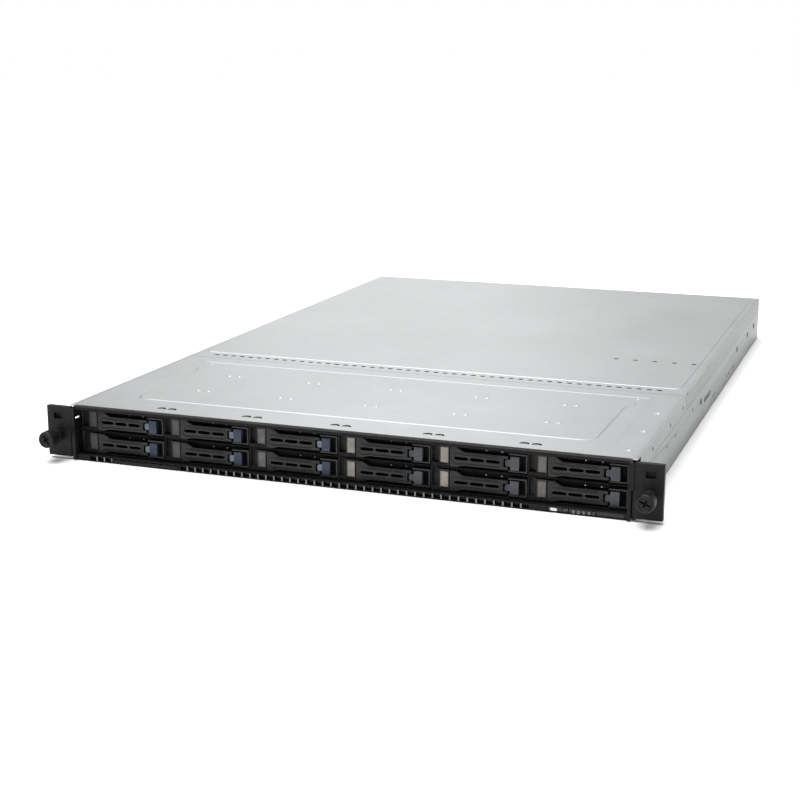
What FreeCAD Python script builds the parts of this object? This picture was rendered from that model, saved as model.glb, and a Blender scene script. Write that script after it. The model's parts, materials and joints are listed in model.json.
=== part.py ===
import FreeCAD
import Part
import math
import os
from FreeCAD import Vector as V

# One-unit rack server with twelve 2.5 inch hot-swap drive carriers.
# Millimetres. X runs to the right seen from the front, Y to the back, Z up.
# Sizes are written with Y = 0 on the front face of the rack ears and Z = 0 on the
# underside; every piece is moved back by Y_ORIGIN on export, so that the origin
# lies under the middle of the whole server.

# ---- drives and bays: these set the width and the height of the case -------------------
DRIVE_WIDTH = 69.85            # 2.5 inch drives, 15 mm high
DRIVE_LENGTH = 100.45
DRIVE_HEIGHT = 14.8
COLUMNS = 6
RAIL = 0.475                   # steel rail on each side of a drive
RUN = 0.2                      # running clearance between flat sliding faces
SEAT = 0.3                     # clearance between pieces that only rest near each other
CAGE_SHEET = 0.8
DECK_SHEET = 1.0
DRIVE_CLEARANCE = 0.4          # above and below a drive in its carrier
ROW_GAP = 2.4                  # between the carriers of two rows
ROOF_GAP = 0.7                 # upper carriers to the cage roof
LIP_GAP = 1.9                  # upper carriers to the lip
BEZEL_Y = 9.0                  # front face of the carriers
BEZEL_DEPTH = 6.0
BEZEL_BACK = 1.8               # plate behind lever and latch
DRIVE_SETBACK = 2.0
CONNECTOR_GAP = 0.5
CONNECTOR_DEPTH = 6.0
CONNECTOR_WIDTH = 42.0
CONNECTOR_HEIGHT = 5.0
BACKPLANE_THICK = 1.6
BACKPLANE_MARGIN = 4.0
WINDOW_WIDTH = 48.0            # air windows between the two rows of connectors
WINDOW_HEIGHT = 6.0

# ---- chassis and covers ----------------------------------------------------------------
CHASSIS_DEPTH = 684.0          # ear face to rear panel
SHEET = 1.0                    # steel of pan and covers
CAGE_MARGIN = 6.0              # drive cage to the outside of the case
SKIRT = 13.6                   # how far a top cover folds down the side
WALL_FRONT = 4.5               # front end of the lower side walls
UPPER_FRONT = 14.0             # front end of the upper side walls and the skirts
COVER_FRONT = 3.3              # front edge of the front top cover
COVER_SEAM = 197.0             # where the two top covers meet
SEAM_GAP = 0.6
SEAM_LAP = 8.4                 # how far the front skirt curves back under the rear cover

# ---- raised and cut features of the covers ---------------------------------------------
PANEL_SIDE = 35.0              # stiffening panel raised on the front cover, from its sides
PANEL_FRONT = 36.5
PANEL_TO_SEAM = 32.0
PANEL_CORNER = 12.0
PANEL_RISE = 0.5
PANEL_SLOPE = 1.2
BEAD_TO_SEAM = 17.0
BEAD_SIDE = 24.0
BEAD_WIDTH = 3.6
FIELD_SIDE = 7.0               # raised field of the rear cover, from its sides
FIELD_TO_SEAM = 21.0
FIELD_MARGIN = 8.0
DASH_PITCH = 8.3
DASH_LENGTH = 4.2
DASH_WIDTH = 2.4
DASH_SIDE = 20.0
DASH_TO_SEAM = 12.0
VENT_ROW = 5                   # short slots near the right edge of the rear cover
VENT_ROW_PITCH = 17.2
VENT_ROW_SIDE = 12.2
VENT_ROW_TO_SEAM = 119.0

# ---- rack ears and thumbscrews ---------------------------------------------------------
EAR_REACH = 19.3               # ear beyond the side of the case; 482.6 over both ears
EAR_THICK = 4.5
EAR_LOW = 2.0
EAR_TOP = 1.9                  # ear below the top of the case
EAR_LEG_LENGTH = 45.0
EAR_LEG_THICK = 1.2
EAR_LEG_LOW = 3.0
POCKET_WIDTH = 6.8             # square pocket in each ear
POCKET_HEIGHT = 4.8
POCKET_DEPTH = 3.0
POCKET_TOP = 5.4
THUMB_SIDE = 9.3               # screw axis from the ear's outer edge
THUMB_Z = 18.8
SHOULDER_RADIUS = 3.0
THREAD_RADIUS = 2.5
THREAD_REACH = 10.0            # thread behind the ear
SHOULDER_PROUD = 0.3
KNOB_REACH = 18.4              # knob in front of the ear
KNOB_RADIUS = 6.6
KNOB_HEAD = 6.0
KNOB_WAIST = 5.4
KNOB_CHAMFER = 0.7
KNURLS = 12
SCREW_CLEARANCE = 0.3
DRIVE_SLOT = 1.2
DRIVE_SLOT_LONG = 8.8
DRIVE_SLOT_SHORT = 4.8

# ---- carrier front, measured from the bay's left divider and the carrier underside -----
TAG_LEFT = 7.2                 # small plate beside the lever
TAG_RIGHT = 13.1
TAG_LOW = 2.9
TAG_TOP = 1.4                  # below the top of the carrier
TAG_THICK = 0.4
TAG_RECESS = 0.7
LEFT_BLOCK_END = 13.6
COVE_LOW = 2.6                 # height where the cove of the left end begins
COVE_REACH = 6.0
COVE_DEPTH = 4.0
CURVE_STEPS = 3                # straight steps in each small curve of a carrier
LUG_HEIGHT = 0.4
LUG_SETBACK = 0.2
RAIL_LOW = 1.0
RAIL_TOP = 2.6
LEVER_START = 14.4
LEVER_ROOT = 5.6               # length of the broad root
LEVER_BEND = 4.4               # length of the curve down to the arm
LEVER_THICK = 2.4
LEVER_ARM_LOW = 2.0
LEVER_ARM_TOP = 3.6
PIN_X = 15.8
PIN_RADIUS = 0.6
PIN_FLATS = 3                  # flats along the hinge pin, which press into the lugs
PIN_FLAT = 0.4                 # flat to the pin axis
PIN_CLEARANCE = 0.25
PIN_SIDES = 6                  # facets of the lever's pin hole
LEVER_SLOTS = 3
SLOT_FIRST = 17.5
SLOT_TO_END = 4.4
SLOT_RIB = 1.4
SLOT_HEIGHT = 2.0
FORK_DEPTH = 3.2               # the lever's forked end
FORK_WALL = 2.1
LATCH_WIDTH = 6.3
LATCH_SIDE = 6.8               # latch to the right divider
LATCH_GAP = 1.7                # lever end to latch
LATCH_SETBACK = 0.4
TOOTH_REACH = 3.6
TOOTH_SETBACK = 0.3
TOOTH_THICK = 1.6
TOOTH_MARGIN = 0.4
LOOP_GAP = 0.7                 # lever end to the loop round the latch
LOOP_LOW = 0.9
LOOP_TOP = 1.3
LOOP_BAR = 1.0
PIPE_SIDES = (31.7, 20.0)      # status light pipes above the lever, from the right divider
PIPE_TOP = 1.8
PIPE_RADIUS = 0.6
PIPE_PROUD = 0.6

# ---- front bezel -----------------------------------------------------------------------
LIP_FRONT = 0.0
LIP_TOP = 0.5                  # below the top of the case
LIP_RADIUS = 1.3
LIP_HEIGHT = 3.6               # underside of the lip below the top of the case
END_WEB = 1.2                  # side web of the bezel
END_BACK = 12.0
END_FRONT = -1.0
END_FLANGE = 1.5
END_WIDE = 4.0
END_NARROW = 2.5
END_STEP_Z = 22.0
HOOK_Y = 1.0                   # slot for a front cover hook
HOOK_LENGTH = 8.6
HOOK_TOP = 10.4
HOOK_HEIGHT = 1.6
STRIP_FRONT = 1.0              # vent strip under the carriers
STRIP_DEPTH = 4.5
STRIP_HEIGHT = 4.2
VENT_PITCH = 6.55
VENT_RIB = 1.2
VENT_MARGIN = 11.0
VENT_BOTTOM = 0.5
VENT_TOP_BAR = 0.5
TAG_SLOT_SIDE = 35.8           # information tag that pulls out under the carriers
TAG_SLOT_WIDTH = 52.4
TAG_SLOT_HEIGHT = 2.5
PULL_TAG_LENGTH = 70.0
PULL_TAG_THICK = 1.0
PULL_TAG_LIP = 2.0

# ---- control panel ---------------------------------------------------------------------
CONTROL_WIDTH = 54.5
CONTROL_SIDE = 1.0
CONTROL_BLANK = 6.0            # closed stretch of the strip beside the panel
CONTROL_DEPTH = 26.0
CONTROL_FACE = 1.6
CONTROL_BOARD_TOP = 3.0
BUTTON_PROUD = 0.9
BUTTON_TRAVEL = 0.8
POWER_SIDE = 13.0              # distances from the panel's left end
POWER_LENGTH = 4.4
LOCATOR_SIDE = 33.1
LOCATOR_LENGTH = 2.4
LAMP_SIDES = (18.5, 22.2, 25.9, 29.6)
LAMP_RADIUS = 0.8
LAMP_PROUD = 0.4
BUTTON_HEIGHT = 2.2
BUTTON_CHAMFER = 0.4
BUTTON_Z = 2.1
BUTTON_STEM = 3.0

# ---- fans, boards and power supplies ---------------------------------------------------
FAN_COUNT = 6
FAN_TOP = 2.6                  # top of the fans below the top of the case
FAN_WALL = 0.6
FAN_LENGTH = 56.0
FAN_MARGIN = 18.0              # outermost fan bays to the outside of the case
FAN_TO_SEAM = 9.0
FAN_SIDES = 8
MOTOR_SETBACK = 30.0           # motor plate behind the front of a fan
MOTOR_LENGTH = 6.0
STRUT_WIDTH = 4.0
STRUT_LENGTH = 3.0
ROTOR_GAP = 3.4                # blade tip to bore
ROTOR_HUB = 9.0
ROTOR_LENGTH = 22.0
BLADES = 5
BLADE_ROOT = 4.0
BLADE_LENGTH = 18.0
BLADE_THICK = 1.4
BLADE_ANGLE = 38.0
BOARD_SIDE = 8.0               # board edge to the outside of the case
BOARD_TO_FANS = 38.0
BOARD_THICK = 1.6
BOARD_MARGIN = 12.0            # board edge to the rear of the chassis
BOARD_FRONT_WIDTH = 330.0
BOARD_TO_PSU = 21.8            # in front of the power supplies
BOARD_TO_WALL = 8.2            # beside the power supplies' wall
STANDOFF = 5.0
STANDOFF_RADIUS = 3.2
STANDOFF_INSET = 8.0
STANDOFF_REAR = 22.0
CPU_SIDES = (92.0, 224.0)      # processor middles from the board's left edge
CPU_TO_FRONT = 92.0
CPU_WIDTH = 60.0
CPU_LENGTH = 70.0
CPU_HEIGHT = 1.0
CHIPS = ((158.0, 138.0, 28.0, 3.0), (212.0, 104.0, 16.0, 2.0))   # from left and rear edges, side, height
SINK_WIDTH = 78.0
SINK_LENGTH = 108.0
SINK_TOP = 10.6                # top of the fins below the top of the case
SINK_BASE = 4.0
SINK_FINS = 12
FIN_THICK = 0.9
DIMM_LENGTH = 133.35
DIMM_THICK = 3.6
DIMM_PITCH = 7.8
DIMM_TOP = 5.0
SOCKET_HEIGHT = 3.0
SOCKET_THICK = 6.6
SOCKET_END = 4.0
BANK_GAP = 7.0                 # heat sink to the first memory socket
DIMM_PER_BANK = 4
DUCT_SHEET = 0.8
DUCT_TO_FANS = 4.0
DUCT_TO_CPU = 70.0
PSU_WIDTH = 73.5
PSU_TOP = 2.8                  # supply below the top of the case
PSU_LENGTH = 185.0
PSU_GAP = 1.2
PSU_TO_WALL = 1.4              # right supply to the upper side wall
PSU_FACE = 0.8                 # power supply face proud of the rear panel
HANDLE_REACH = 20.0
HANDLE_STRAP = 3.0
HANDLE_WIDTH = 7.0
HANDLE_LOW = 8.0
HANDLE_TOP = 11.6
HANDLE_CORNER = 4.0
INLET_WIDTH = 24.4
INLET_HEIGHT = 16.6
INLET_DEPTH = 15.0
INLET_MARGIN = 4.0
PIN_BLADE = (2.0, 5.0)
PIN_PITCH = 7.0
PIN_SETBACK = 3.0
PIN_HEIGHTS = (6.4, 10.2, 6.4)
BLOWER_X = 19.0
BLOWER_MARGIN = 3.3            # blower opening to the top and bottom of the supply
BLOWER_DEPTH = 3.0
BLOWER_HUB = 7.0
BLOWER_HUB_LENGTH = 2.4
RELEASE_X = 12.0               # release tab, from the right edge and the top of the supply
RELEASE_Z = 8.0
RELEASE_WIDTH = 8.0
RELEASE_REACH = 8.0
RELEASE_THICK = 1.6
RELEASE_DROP = 4.0

# ---- rear panel ------------------------------------------------------------------------
PORT_Z = 8.4
PORT_DEPTH = 20.0
PORT_PROUD = 0.6
PORT_WALL = 1.2
PORT_MOUTH = 12.0              # depth of a port's mouth
LAN_PORTS = ((190.0, 15.8, 13.0), (210.0, 15.8, 13.0))   # from the board's left edge, width, height
USB_PORT = (230.0, 13.6, 15.6)
TONGUE = 2.0
TONGUE_SETBACK = 0.4
DISPLAY_PORT = (252.0, 22.0, 12.2)
DISPLAY_NOSE = 4.0
DISPLAY_MARGIN = 3.0
DISPLAY_SLOPE = 1.6
SLOT_SIDES = (10.5, 96.5, 182.5)   # grilles of the card slots, from the board's left edge
GRILLE_TOP = 6.9
GRILLE_HEIGHT = 6.2
GRILLE_VENTS = 4
GRILLE_PITCH = 18.0
GRILLE_RIB = 3.0
RISER_X = 35.5                 # riser card, from the left edge of its slot
RISER_LENGTH = 162.0
RISER_TOP = 4.1
REAR_VENTS = 14
REAR_VENT_SIDE = 8.0
REAR_VENT_PITCH = 12.0
REAR_VENT_RIB = 2.4
REAR_VENT_LOW = 10.0
REAR_VENT_HIGH = 22.0

# ---- screws and slots on the sides -----------------------------------------------------
FRONT_SCREW = (285.0, 19.0)
REAR_SCREWS = ((172.0, 20.0), (92.0, 20.0), (39.0, 20.0))   # from the rear, height
SIDE_SCREW_RADIUS = 2.8
SIDE_SCREW_PROUD = 0.7
LOUVRES = 6                    # row of slots behind the first screw
LOUVRE_GAP = 19.0
LOUVRE_PITCH = 6.0
LOUVRE_WIDTH = 3.6
LOUVRE_Z = 15.5
LOUVRE_HEIGHT = 4.5

# ---- worked out from the sizes above: case and bays ------------------------------------
CARRIER_SIDE = CAGE_SHEET / 2 + RUN        # divider middle to carrier side
BAY_PITCH = DRIVE_WIDTH + 2 * (RAIL + CARRIER_SIDE)
CARRIER_HEIGHT = DRIVE_HEIGHT + 2 * DRIVE_CLEARANCE
ROW_LOW = STRIP_HEIGHT + SEAT              # underside of the lower row of carriers
ROW_HIGH = ROW_LOW + CARRIER_HEIGHT + ROW_GAP
CAGE_HALF = COLUMNS * BAY_PITCH / 2
ROOF_LOW = ROW_HIGH + CARRIER_HEIGHT + ROOF_GAP
LIP_BOTTOM = ROW_HIGH + CARRIER_HEIGHT + LIP_GAP
CHASSIS_HEIGHT = LIP_BOTTOM + LIP_HEIGHT
HALF = CAGE_HALF + CAGE_MARGIN
COVER_UNDER = CHASSIS_HEIGHT - SHEET
SKIRT_LOW = CHASSIS_HEIGHT - SKIRT
JOG_Z = SKIRT_LOW - RUN - SHEET            # height where a side wall steps inward
WALL_TOP = COVER_UNDER - SEAT
UPPER_OUT = HALF - SHEET - RUN             # outer face of the upper side wall
EAR_LEG_HIGH = JOG_Z - SHEET + SEAT / 2
BEZEL_REAR = BEZEL_Y + BEZEL_DEPTH
RECESS_Y = BEZEL_REAR - BEZEL_BACK
DRIVE_Y = BEZEL_REAR + DRIVE_SETBACK
DRIVE_REAR = DRIVE_Y + DRIVE_LENGTH
BACKPLANE_Y = DRIVE_REAR + CONNECTOR_GAP + CONNECTOR_DEPTH
EAR_OUT = HALF + EAR_REACH
THUMB_X = EAR_OUT - THUMB_SIDE
DASH_Y = COVER_SEAM + DASH_TO_SEAM
DASH_HALF_COUNT = int((HALF - DASH_SIDE) / DASH_PITCH)
VENT_ROW_Y = COVER_SEAM + VENT_ROW_TO_SEAM
HANDLE_HIGH = CHASSIS_HEIGHT - HANDLE_TOP

# ---- worked out: carrier front ---------------------------------------------------------
CARRIER_END = BAY_PITCH - CARRIER_SIDE
LATCH_END = BAY_PITCH - LATCH_SIDE
LATCH_START = LATCH_END - LATCH_WIDTH
LEVER_END = LATCH_START - LATCH_GAP
LEVER_ROOT_END = LEVER_START + LEVER_ROOT
LEVER_WAIST = LEVER_ROOT_END + LEVER_BEND
LEVER_LOW = LUG_HEIGHT + RUN
LEVER_HIGH = CARRIER_HEIGHT - LUG_HEIGHT - RUN
LEVER_ARM_HIGH = CARRIER_HEIGHT - LEVER_ARM_TOP
SLOT_PITCH = (LEVER_END - SLOT_TO_END - SLOT_FIRST) / LEVER_SLOTS
NOTCH_START = LEVER_END - FORK_DEPTH
NOTCH_LOW = LEVER_ARM_LOW + FORK_WALL
NOTCH_HIGH = LEVER_ARM_HIGH - FORK_WALL
TOOTH_START = LATCH_START - TOOTH_REACH
LOOP_START = LEVER_END + LOOP_GAP

# ---- worked out: strip and control panel -----------------------------------------------
CONTROL_RIGHT = CAGE_HALF - CONTROL_SIDE
CONTROL_LEFT = CONTROL_RIGHT - CONTROL_WIDTH
TAG_SLOT_LEFT = -CAGE_HALF + TAG_SLOT_SIDE
VENT_LEFT = -CAGE_HALF + VENT_MARGIN
VENT_RIGHT = CONTROL_LEFT - CONTROL_BLANK
POWER_X = CONTROL_LEFT + POWER_SIDE
LOCATOR_X = CONTROL_LEFT + LOCATOR_SIDE

# ---- worked out: fans, boards and power supplies ---------------------------------------
FAN_Y = COVER_SEAM + FAN_TO_SEAM
FAN_PITCH = 2 * (HALF - FAN_MARGIN) / FAN_COUNT
FAN_SIZE = CHASSIS_HEIGHT - FAN_TOP - SHEET
FAN_BORE = FAN_SIZE / 2 - FAN_WALL
ROTOR_TIP = FAN_BORE - ROTOR_GAP
PSU_Z = SHEET + RUN
PSU_HEIGHT = CHASSIS_HEIGHT - PSU_TOP - PSU_Z
PSU_REAR = CHASSIS_DEPTH + PSU_FACE
PSU_FRONT = PSU_REAR - PSU_LENGTH
PSU_RIGHT_X = UPPER_OUT - SHEET - PSU_TO_WALL - PSU_WIDTH
PSU_LEFT_X = PSU_RIGHT_X - PSU_GAP - PSU_WIDTH
PSU_WALL_X = PSU_LEFT_X - RUN - SHEET
BOARD_LEFT = -HALF + BOARD_SIDE
BOARD_RIGHT = BOARD_LEFT + BOARD_FRONT_WIDTH
BOARD_REAR_RIGHT = PSU_WALL_X - BOARD_TO_WALL
BOARD_FRONT = FAN_Y + FAN_LENGTH + BOARD_TO_FANS
BOARD_STEP = PSU_FRONT - BOARD_TO_PSU
BOARD_REAR = CHASSIS_DEPTH - BOARD_MARGIN
BOARD_Z = SHEET + STANDOFF
BOARD_TOP = BOARD_Z + BOARD_THICK
CPU_Y = BOARD_FRONT + CPU_TO_FRONT
CPU_X = tuple(BOARD_LEFT + side for side in CPU_SIDES)
DUCT_FRONT = FAN_Y + FAN_LENGTH + DUCT_TO_FANS
DUCT_REAR = CPU_Y + DUCT_TO_CPU
GRILLE_HIGH = CHASSIS_HEIGHT - GRILLE_TOP
GRILLE_LOW = GRILLE_HIGH - GRILLE_HEIGHT
SLOT_GRILLES = tuple(BOARD_LEFT + side for side in SLOT_SIDES)
BLOWER_RADIUS = PSU_HEIGHT / 2 - BLOWER_MARGIN
SIDE_SCREWS = (FRONT_SCREW,) + tuple((CHASSIS_DEPTH - y, z) for y, z in REAR_SCREWS)
FRONT_REACH = KNOB_REACH
REAR_REACH = PSU_REAR + HANDLE_REACH
Y_ORIGIN = (REAR_REACH - FRONT_REACH) / 2


# ---- basic forms -----------------------------------------------------------------------
def box(x0, x1, y0, y1, z0, z1):
    """A block between two corners."""
    return Part.makeBox(x1 - x0, y1 - y0, z1 - z0, V(x0, y0, z0))


def outline(points):
    """A closed face through straight-edged points."""
    return Part.Face(Part.makePolygon(points + [points[0]]))


def along_y(points, y0, y1):
    """A profile given as (x, z) pairs, drawn out from y0 to y1."""
    face = outline([V(x, y0, z) for x, z in points])
    return face.extrude(V(0, y1 - y0, 0))


def along_z(points, z0, z1):
    """A profile given as (x, y) pairs, drawn out from z0 to z1."""
    face = outline([V(x, y, z0) for x, y in points])
    return face.extrude(V(0, 0, z1 - z0))


def along_x(points, x0, x1):
    """A profile given as (y, z) pairs, drawn out from x0 to x1."""
    face = outline([V(x0, y, z) for y, z in points])
    return face.extrude(V(x1 - x0, 0, 0))


def rod(x, y, z, radius, length, direction):
    """A round bar that starts at a point and runs in a direction."""
    return Part.makeCylinder(radius, length, V(x, y, z), direction)


def polygon_rod(x, y, z, radius, length, direction, sides=6):
    """A bar with a regular many-sided section."""
    side = V(0, 0, 1) if abs(direction.z) < 0.5 else V(1, 0, 0)
    other = direction.cross(side)
    centre = V(x, y, z)
    points = []
    for i in range(sides):
        turn = 2 * math.pi * i / sides
        points.append(centre + side * (radius * math.cos(turn)) + other * (radius * math.sin(turn)))
    return outline(points).extrude(direction * length)


def slot(x0, x1, z, height, y0, y1):
    """A slot with pointed ends, lying along X and cut along Y."""
    r = height / 2
    ring = [(x0 + r, z - r), (x1 - r, z - r), (x1, z), (x1 - r, z + r), (x0 + r, z + r), (x0, z)]
    return along_y(ring, y0, y1)


def fused(pieces):
    """One solid from pieces that touch or cross."""
    return pieces[0].multiFuse(pieces[1:]).removeSplitter()


def mirrored(shape):
    """The same piece on the left side."""
    return shape.mirror(V(0, 0, 0), V(1, 0, 0))


def both_sides(shape):
    """A piece and its mirror image."""
    return [shape, mirrored(shape)]


def save(name, shapes):
    """Write one node, moved so that the origin lies under the middle."""
    group = Part.makeCompound(shapes) if isinstance(shapes, list) else shapes
    placed = group.copy()
    placed.translate(V(0, -Y_ORIGIN, 0))
    os.makedirs("parts", exist_ok=True)
    placed.exportStep("parts/" + name + ".step")


# ---- chassis ---------------------------------------------------------------------------
def side_wall():
    """The right side wall: upright, stepped inward where the cover skirt laps it."""
    profile = [(HALF - SHEET, 0), (HALF, 0), (HALF, JOG_Z + SHEET), (UPPER_OUT, JOG_Z + SHEET),
               (UPPER_OUT, WALL_TOP), (UPPER_OUT - SHEET, WALL_TOP), (UPPER_OUT - SHEET, JOG_Z),
               (HALF - SHEET, JOG_Z)]
    wall = along_y(profile, WALL_FRONT, CHASSIS_DEPTH)
    relief = box(UPPER_OUT - 2 * SHEET, HALF + SHEET, 0, UPPER_FRONT, JOG_Z, CHASSIS_HEIGHT)
    cuts = [relief]
    for i in range(LOUVRES):
        y = FRONT_SCREW[0] + LOUVRE_GAP + LOUVRE_PITCH * i
        cuts.append(box(HALF - 2 * SHEET, HALF + SHEET, y, y + LOUVRE_WIDTH,
                        LOUVRE_Z - LOUVRE_HEIGHT / 2, LOUVRE_Z + LOUVRE_HEIGHT / 2))
    return wall.cut(Part.makeCompound(cuts))


def rear_panel():
    """The rear wall, standing on the floor between the sides, with its openings."""
    y0, y1 = CHASSIS_DEPTH - SHEET, CHASSIS_DEPTH
    lower, upper = HALF - SHEET, UPPER_OUT - SHEET
    panel = box(-lower, lower, y0, y1, SHEET, JOG_Z).fuse(box(-upper, upper, y0, y1, SHEET, WALL_TOP))
    cuts = [box(PSU_LEFT_X - RUN, PSU_RIGHT_X + PSU_WIDTH + RUN, y0 - 1, y1 + 1, SHEET,
                PSU_Z + PSU_HEIGHT + RUN)]
    for side, width, height in LAN_PORTS + (USB_PORT, DISPLAY_PORT):
        x = BOARD_LEFT + side
        cuts.append(box(x - SEAT, x + width + SEAT, y0 - 1, y1 + 1, BOARD_TOP, PORT_Z + height + SEAT))
    for x in SLOT_GRILLES:
        for i in range(GRILLE_VENTS):
            left = x + GRILLE_PITCH * i
            cuts.append(box(left, left + GRILLE_PITCH - GRILLE_RIB, y0 - 1, y1 + 1, GRILLE_LOW, GRILLE_HIGH))
    for i in range(REAR_VENTS):
        x = BOARD_LEFT + REAR_VENT_SIDE + REAR_VENT_PITCH * i
        cuts.append(box(x, x + REAR_VENT_PITCH - REAR_VENT_RIB, y0 - 1, y1 + 1,
                        REAR_VENT_LOW, REAR_VENT_HIGH))
    return panel.cut(Part.makeCompound(cuts))


def chassis_base():
    """The steel pan: floor, stepped side walls, power supply wall, standoffs."""
    floor = box(-HALF, HALF, STRIP_FRONT + STRIP_DEPTH, CHASSIS_DEPTH, 0, SHEET)
    psu_wall = box(PSU_WALL_X, PSU_WALL_X + SHEET, PSU_FRONT, CHASSIS_DEPTH - SHEET, SHEET, WALL_TOP)
    pieces = [floor, psu_wall] + both_sides(side_wall())
    left, right = BOARD_LEFT + STANDOFF_INSET, BOARD_REAR_RIGHT - STANDOFF_INSET
    for x in (left, sum(CPU_X) / 2, right):
        for y in (BOARD_FRONT + STANDOFF_INSET, BOARD_STEP - STANDOFF_INSET, BOARD_REAR - STANDOFF_REAR):
            pieces.append(polygon_rod(x, y, SHEET, STANDOFF_RADIUS, STANDOFF, V(0, 0, 1)))
    return fused(pieces)


def plateau(ring, rise, slope):
    """A raised field: the ring of (x, y) points shrunk by the slope over the rise."""
    middle_x = sum(x for x, y in ring) / len(ring)
    middle_y = sum(y for x, y in ring) / len(ring)
    wires = []
    for z, inset in ((CHASSIS_HEIGHT, 0), (CHASSIS_HEIGHT + rise, slope)):
        points = [V(x - math.copysign(inset, x - middle_x), y - math.copysign(inset, y - middle_y), z)
                  for x, y in ring]
        wires.append(Part.makePolygon(points + [points[0]]))
    return Part.makeLoft(wires, True, True)


def rectangle(half, y0, y1, corner):
    """A rectangle about the middle line with its corners cut, as (x, y) pairs."""
    return [(-half + corner, y0), (half - corner, y0), (half, y0 + corner), (half, y1 - corner),
            (half - corner, y1), (-half + corner, y1), (-half, y1 - corner), (-half, y0 + corner)]


def seam_tail(shift):
    """The curved tail of the front skirt that reaches back behind the seam."""
    x, y = HALF - SHEET, COVER_SEAM + shift
    top, low = V(x, y, CHASSIS_HEIGHT), V(x, y + SEAM_LAP, SKIRT_LOW)
    middle = V(x, y + SEAM_LAP * 0.8, SKIRT_LOW + SKIRT * 0.52)
    back_low, back_top = V(x, y - SEAM_LAP, SKIRT_LOW), V(x, y - SEAM_LAP, CHASSIS_HEIGHT)
    edges = [Part.Arc(top, middle, low).toShape(), Part.LineSegment(low, back_low).toShape(),
             Part.LineSegment(back_low, back_top).toShape(), Part.LineSegment(back_top, top).toShape()]
    return Part.Face(Part.Wire(edges)).extrude(V(SHEET, 0, 0))


def front_top_cover():
    """The fixed cover over the drive cage, with its raised panel and bead."""
    top = box(-HALF, HALF, COVER_FRONT, COVER_SEAM, COVER_UNDER, CHASSIS_HEIGHT)
    skirt = box(HALF - SHEET, HALF, UPPER_FRONT, COVER_SEAM, SKIRT_LOW, CHASSIS_HEIGHT)
    panel = plateau(rectangle(HALF - PANEL_SIDE, PANEL_FRONT, COVER_SEAM - PANEL_TO_SEAM, PANEL_CORNER),
                    PANEL_RISE, PANEL_SLOPE)
    y = COVER_SEAM - BEAD_TO_SEAM
    bead = plateau(rectangle(HALF - BEAD_SIDE, y - BEAD_WIDTH / 2, y + BEAD_WIDTH / 2, BEAD_WIDTH / 3),
                   PANEL_RISE, PANEL_SLOPE)
    return fused([top, panel, bead] + both_sides(skirt) + both_sides(seam_tail(0)))


def rear_top_cover():
    """The sliding cover over fans and board, with a raised field and a row of dash slots."""
    y0 = COVER_SEAM + SEAM_GAP
    top = box(-HALF, HALF, y0, CHASSIS_DEPTH, COVER_UNDER, CHASSIS_HEIGHT)
    skirt = box(HALF - SHEET, HALF, y0, CHASSIS_DEPTH, SKIRT_LOW, CHASSIS_HEIGHT)
    field = plateau(rectangle(HALF - FIELD_SIDE, COVER_SEAM + FIELD_TO_SEAM, CHASSIS_DEPTH - FIELD_MARGIN,
                              FIELD_MARGIN / 2), PANEL_RISE, PANEL_SLOPE)
    body = fused([top, field] + both_sides(skirt))
    cuts = both_sides(seam_tail(SEAM_GAP))
    high = CHASSIS_HEIGHT + PANEL_RISE + 1
    for i in range(-DASH_HALF_COUNT, DASH_HALF_COUNT + 1):
        x = DASH_PITCH * i
        cuts.append(box(x - DASH_LENGTH / 2, x + DASH_LENGTH / 2, DASH_Y - DASH_WIDTH / 2,
                        DASH_Y + DASH_WIDTH / 2, COVER_UNDER - 1, high))
    for i in range(VENT_ROW):
        x = HALF - VENT_ROW_SIDE - VENT_ROW_PITCH * i
        cuts.append(box(x - DASH_LENGTH / 2, x + DASH_LENGTH / 2, VENT_ROW_Y - DASH_WIDTH / 2,
                        VENT_ROW_Y + DASH_WIDTH / 2, COVER_UNDER - 1, high))
    return body.cut(Part.makeCompound(cuts))


# ---- front bezel -----------------------------------------------------------------------
def lip():
    """The rounded bar across the top of the front."""
    half = CAGE_HALF + END_WEB + CAGE_SHEET
    r = LIP_RADIUS
    top = CHASSIS_HEIGHT - LIP_TOP
    profile = [(BEZEL_Y, LIP_BOTTOM), (BEZEL_Y, COVER_UNDER - RUN), (COVER_FRONT - RUN, COVER_UNDER - RUN),
               (COVER_FRONT - RUN, top)]
    for i in range(6):
        turn = math.pi / 2 * i / 5
        profile.append((LIP_FRONT + r - r * math.sin(turn), top - r + r * math.cos(turn)))
    profile += [(LIP_FRONT, LIP_BOTTOM + r / 2), (LIP_FRONT + r / 2, LIP_BOTTOM)]
    return along_x(profile, -half, half)


def end_wall():
    """The right end of the bezel: a web with a stepped front flange and a hook slot."""
    x0 = CAGE_HALF + CAGE_SHEET
    web = box(x0, x0 + END_WEB, END_FRONT, END_BACK, SHEET, COVER_UNDER - RUN)
    wide = box(x0, x0 + END_WIDE, END_FRONT, END_FRONT + END_FLANGE, END_STEP_Z, LIP_BOTTOM + 1)
    narrow = box(x0, x0 + END_NARROW, END_FRONT, END_FRONT + END_FLANGE, VENT_BOTTOM, END_STEP_Z)
    middle = CHASSIS_HEIGHT - HOOK_TOP
    hook = box(x0 - 1, x0 + END_WEB + 1, HOOK_Y, HOOK_Y + HOOK_LENGTH,
               middle - HOOK_HEIGHT / 2, middle + HOOK_HEIGHT / 2)
    return fused([web, wide, narrow]).cut(hook)


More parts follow.
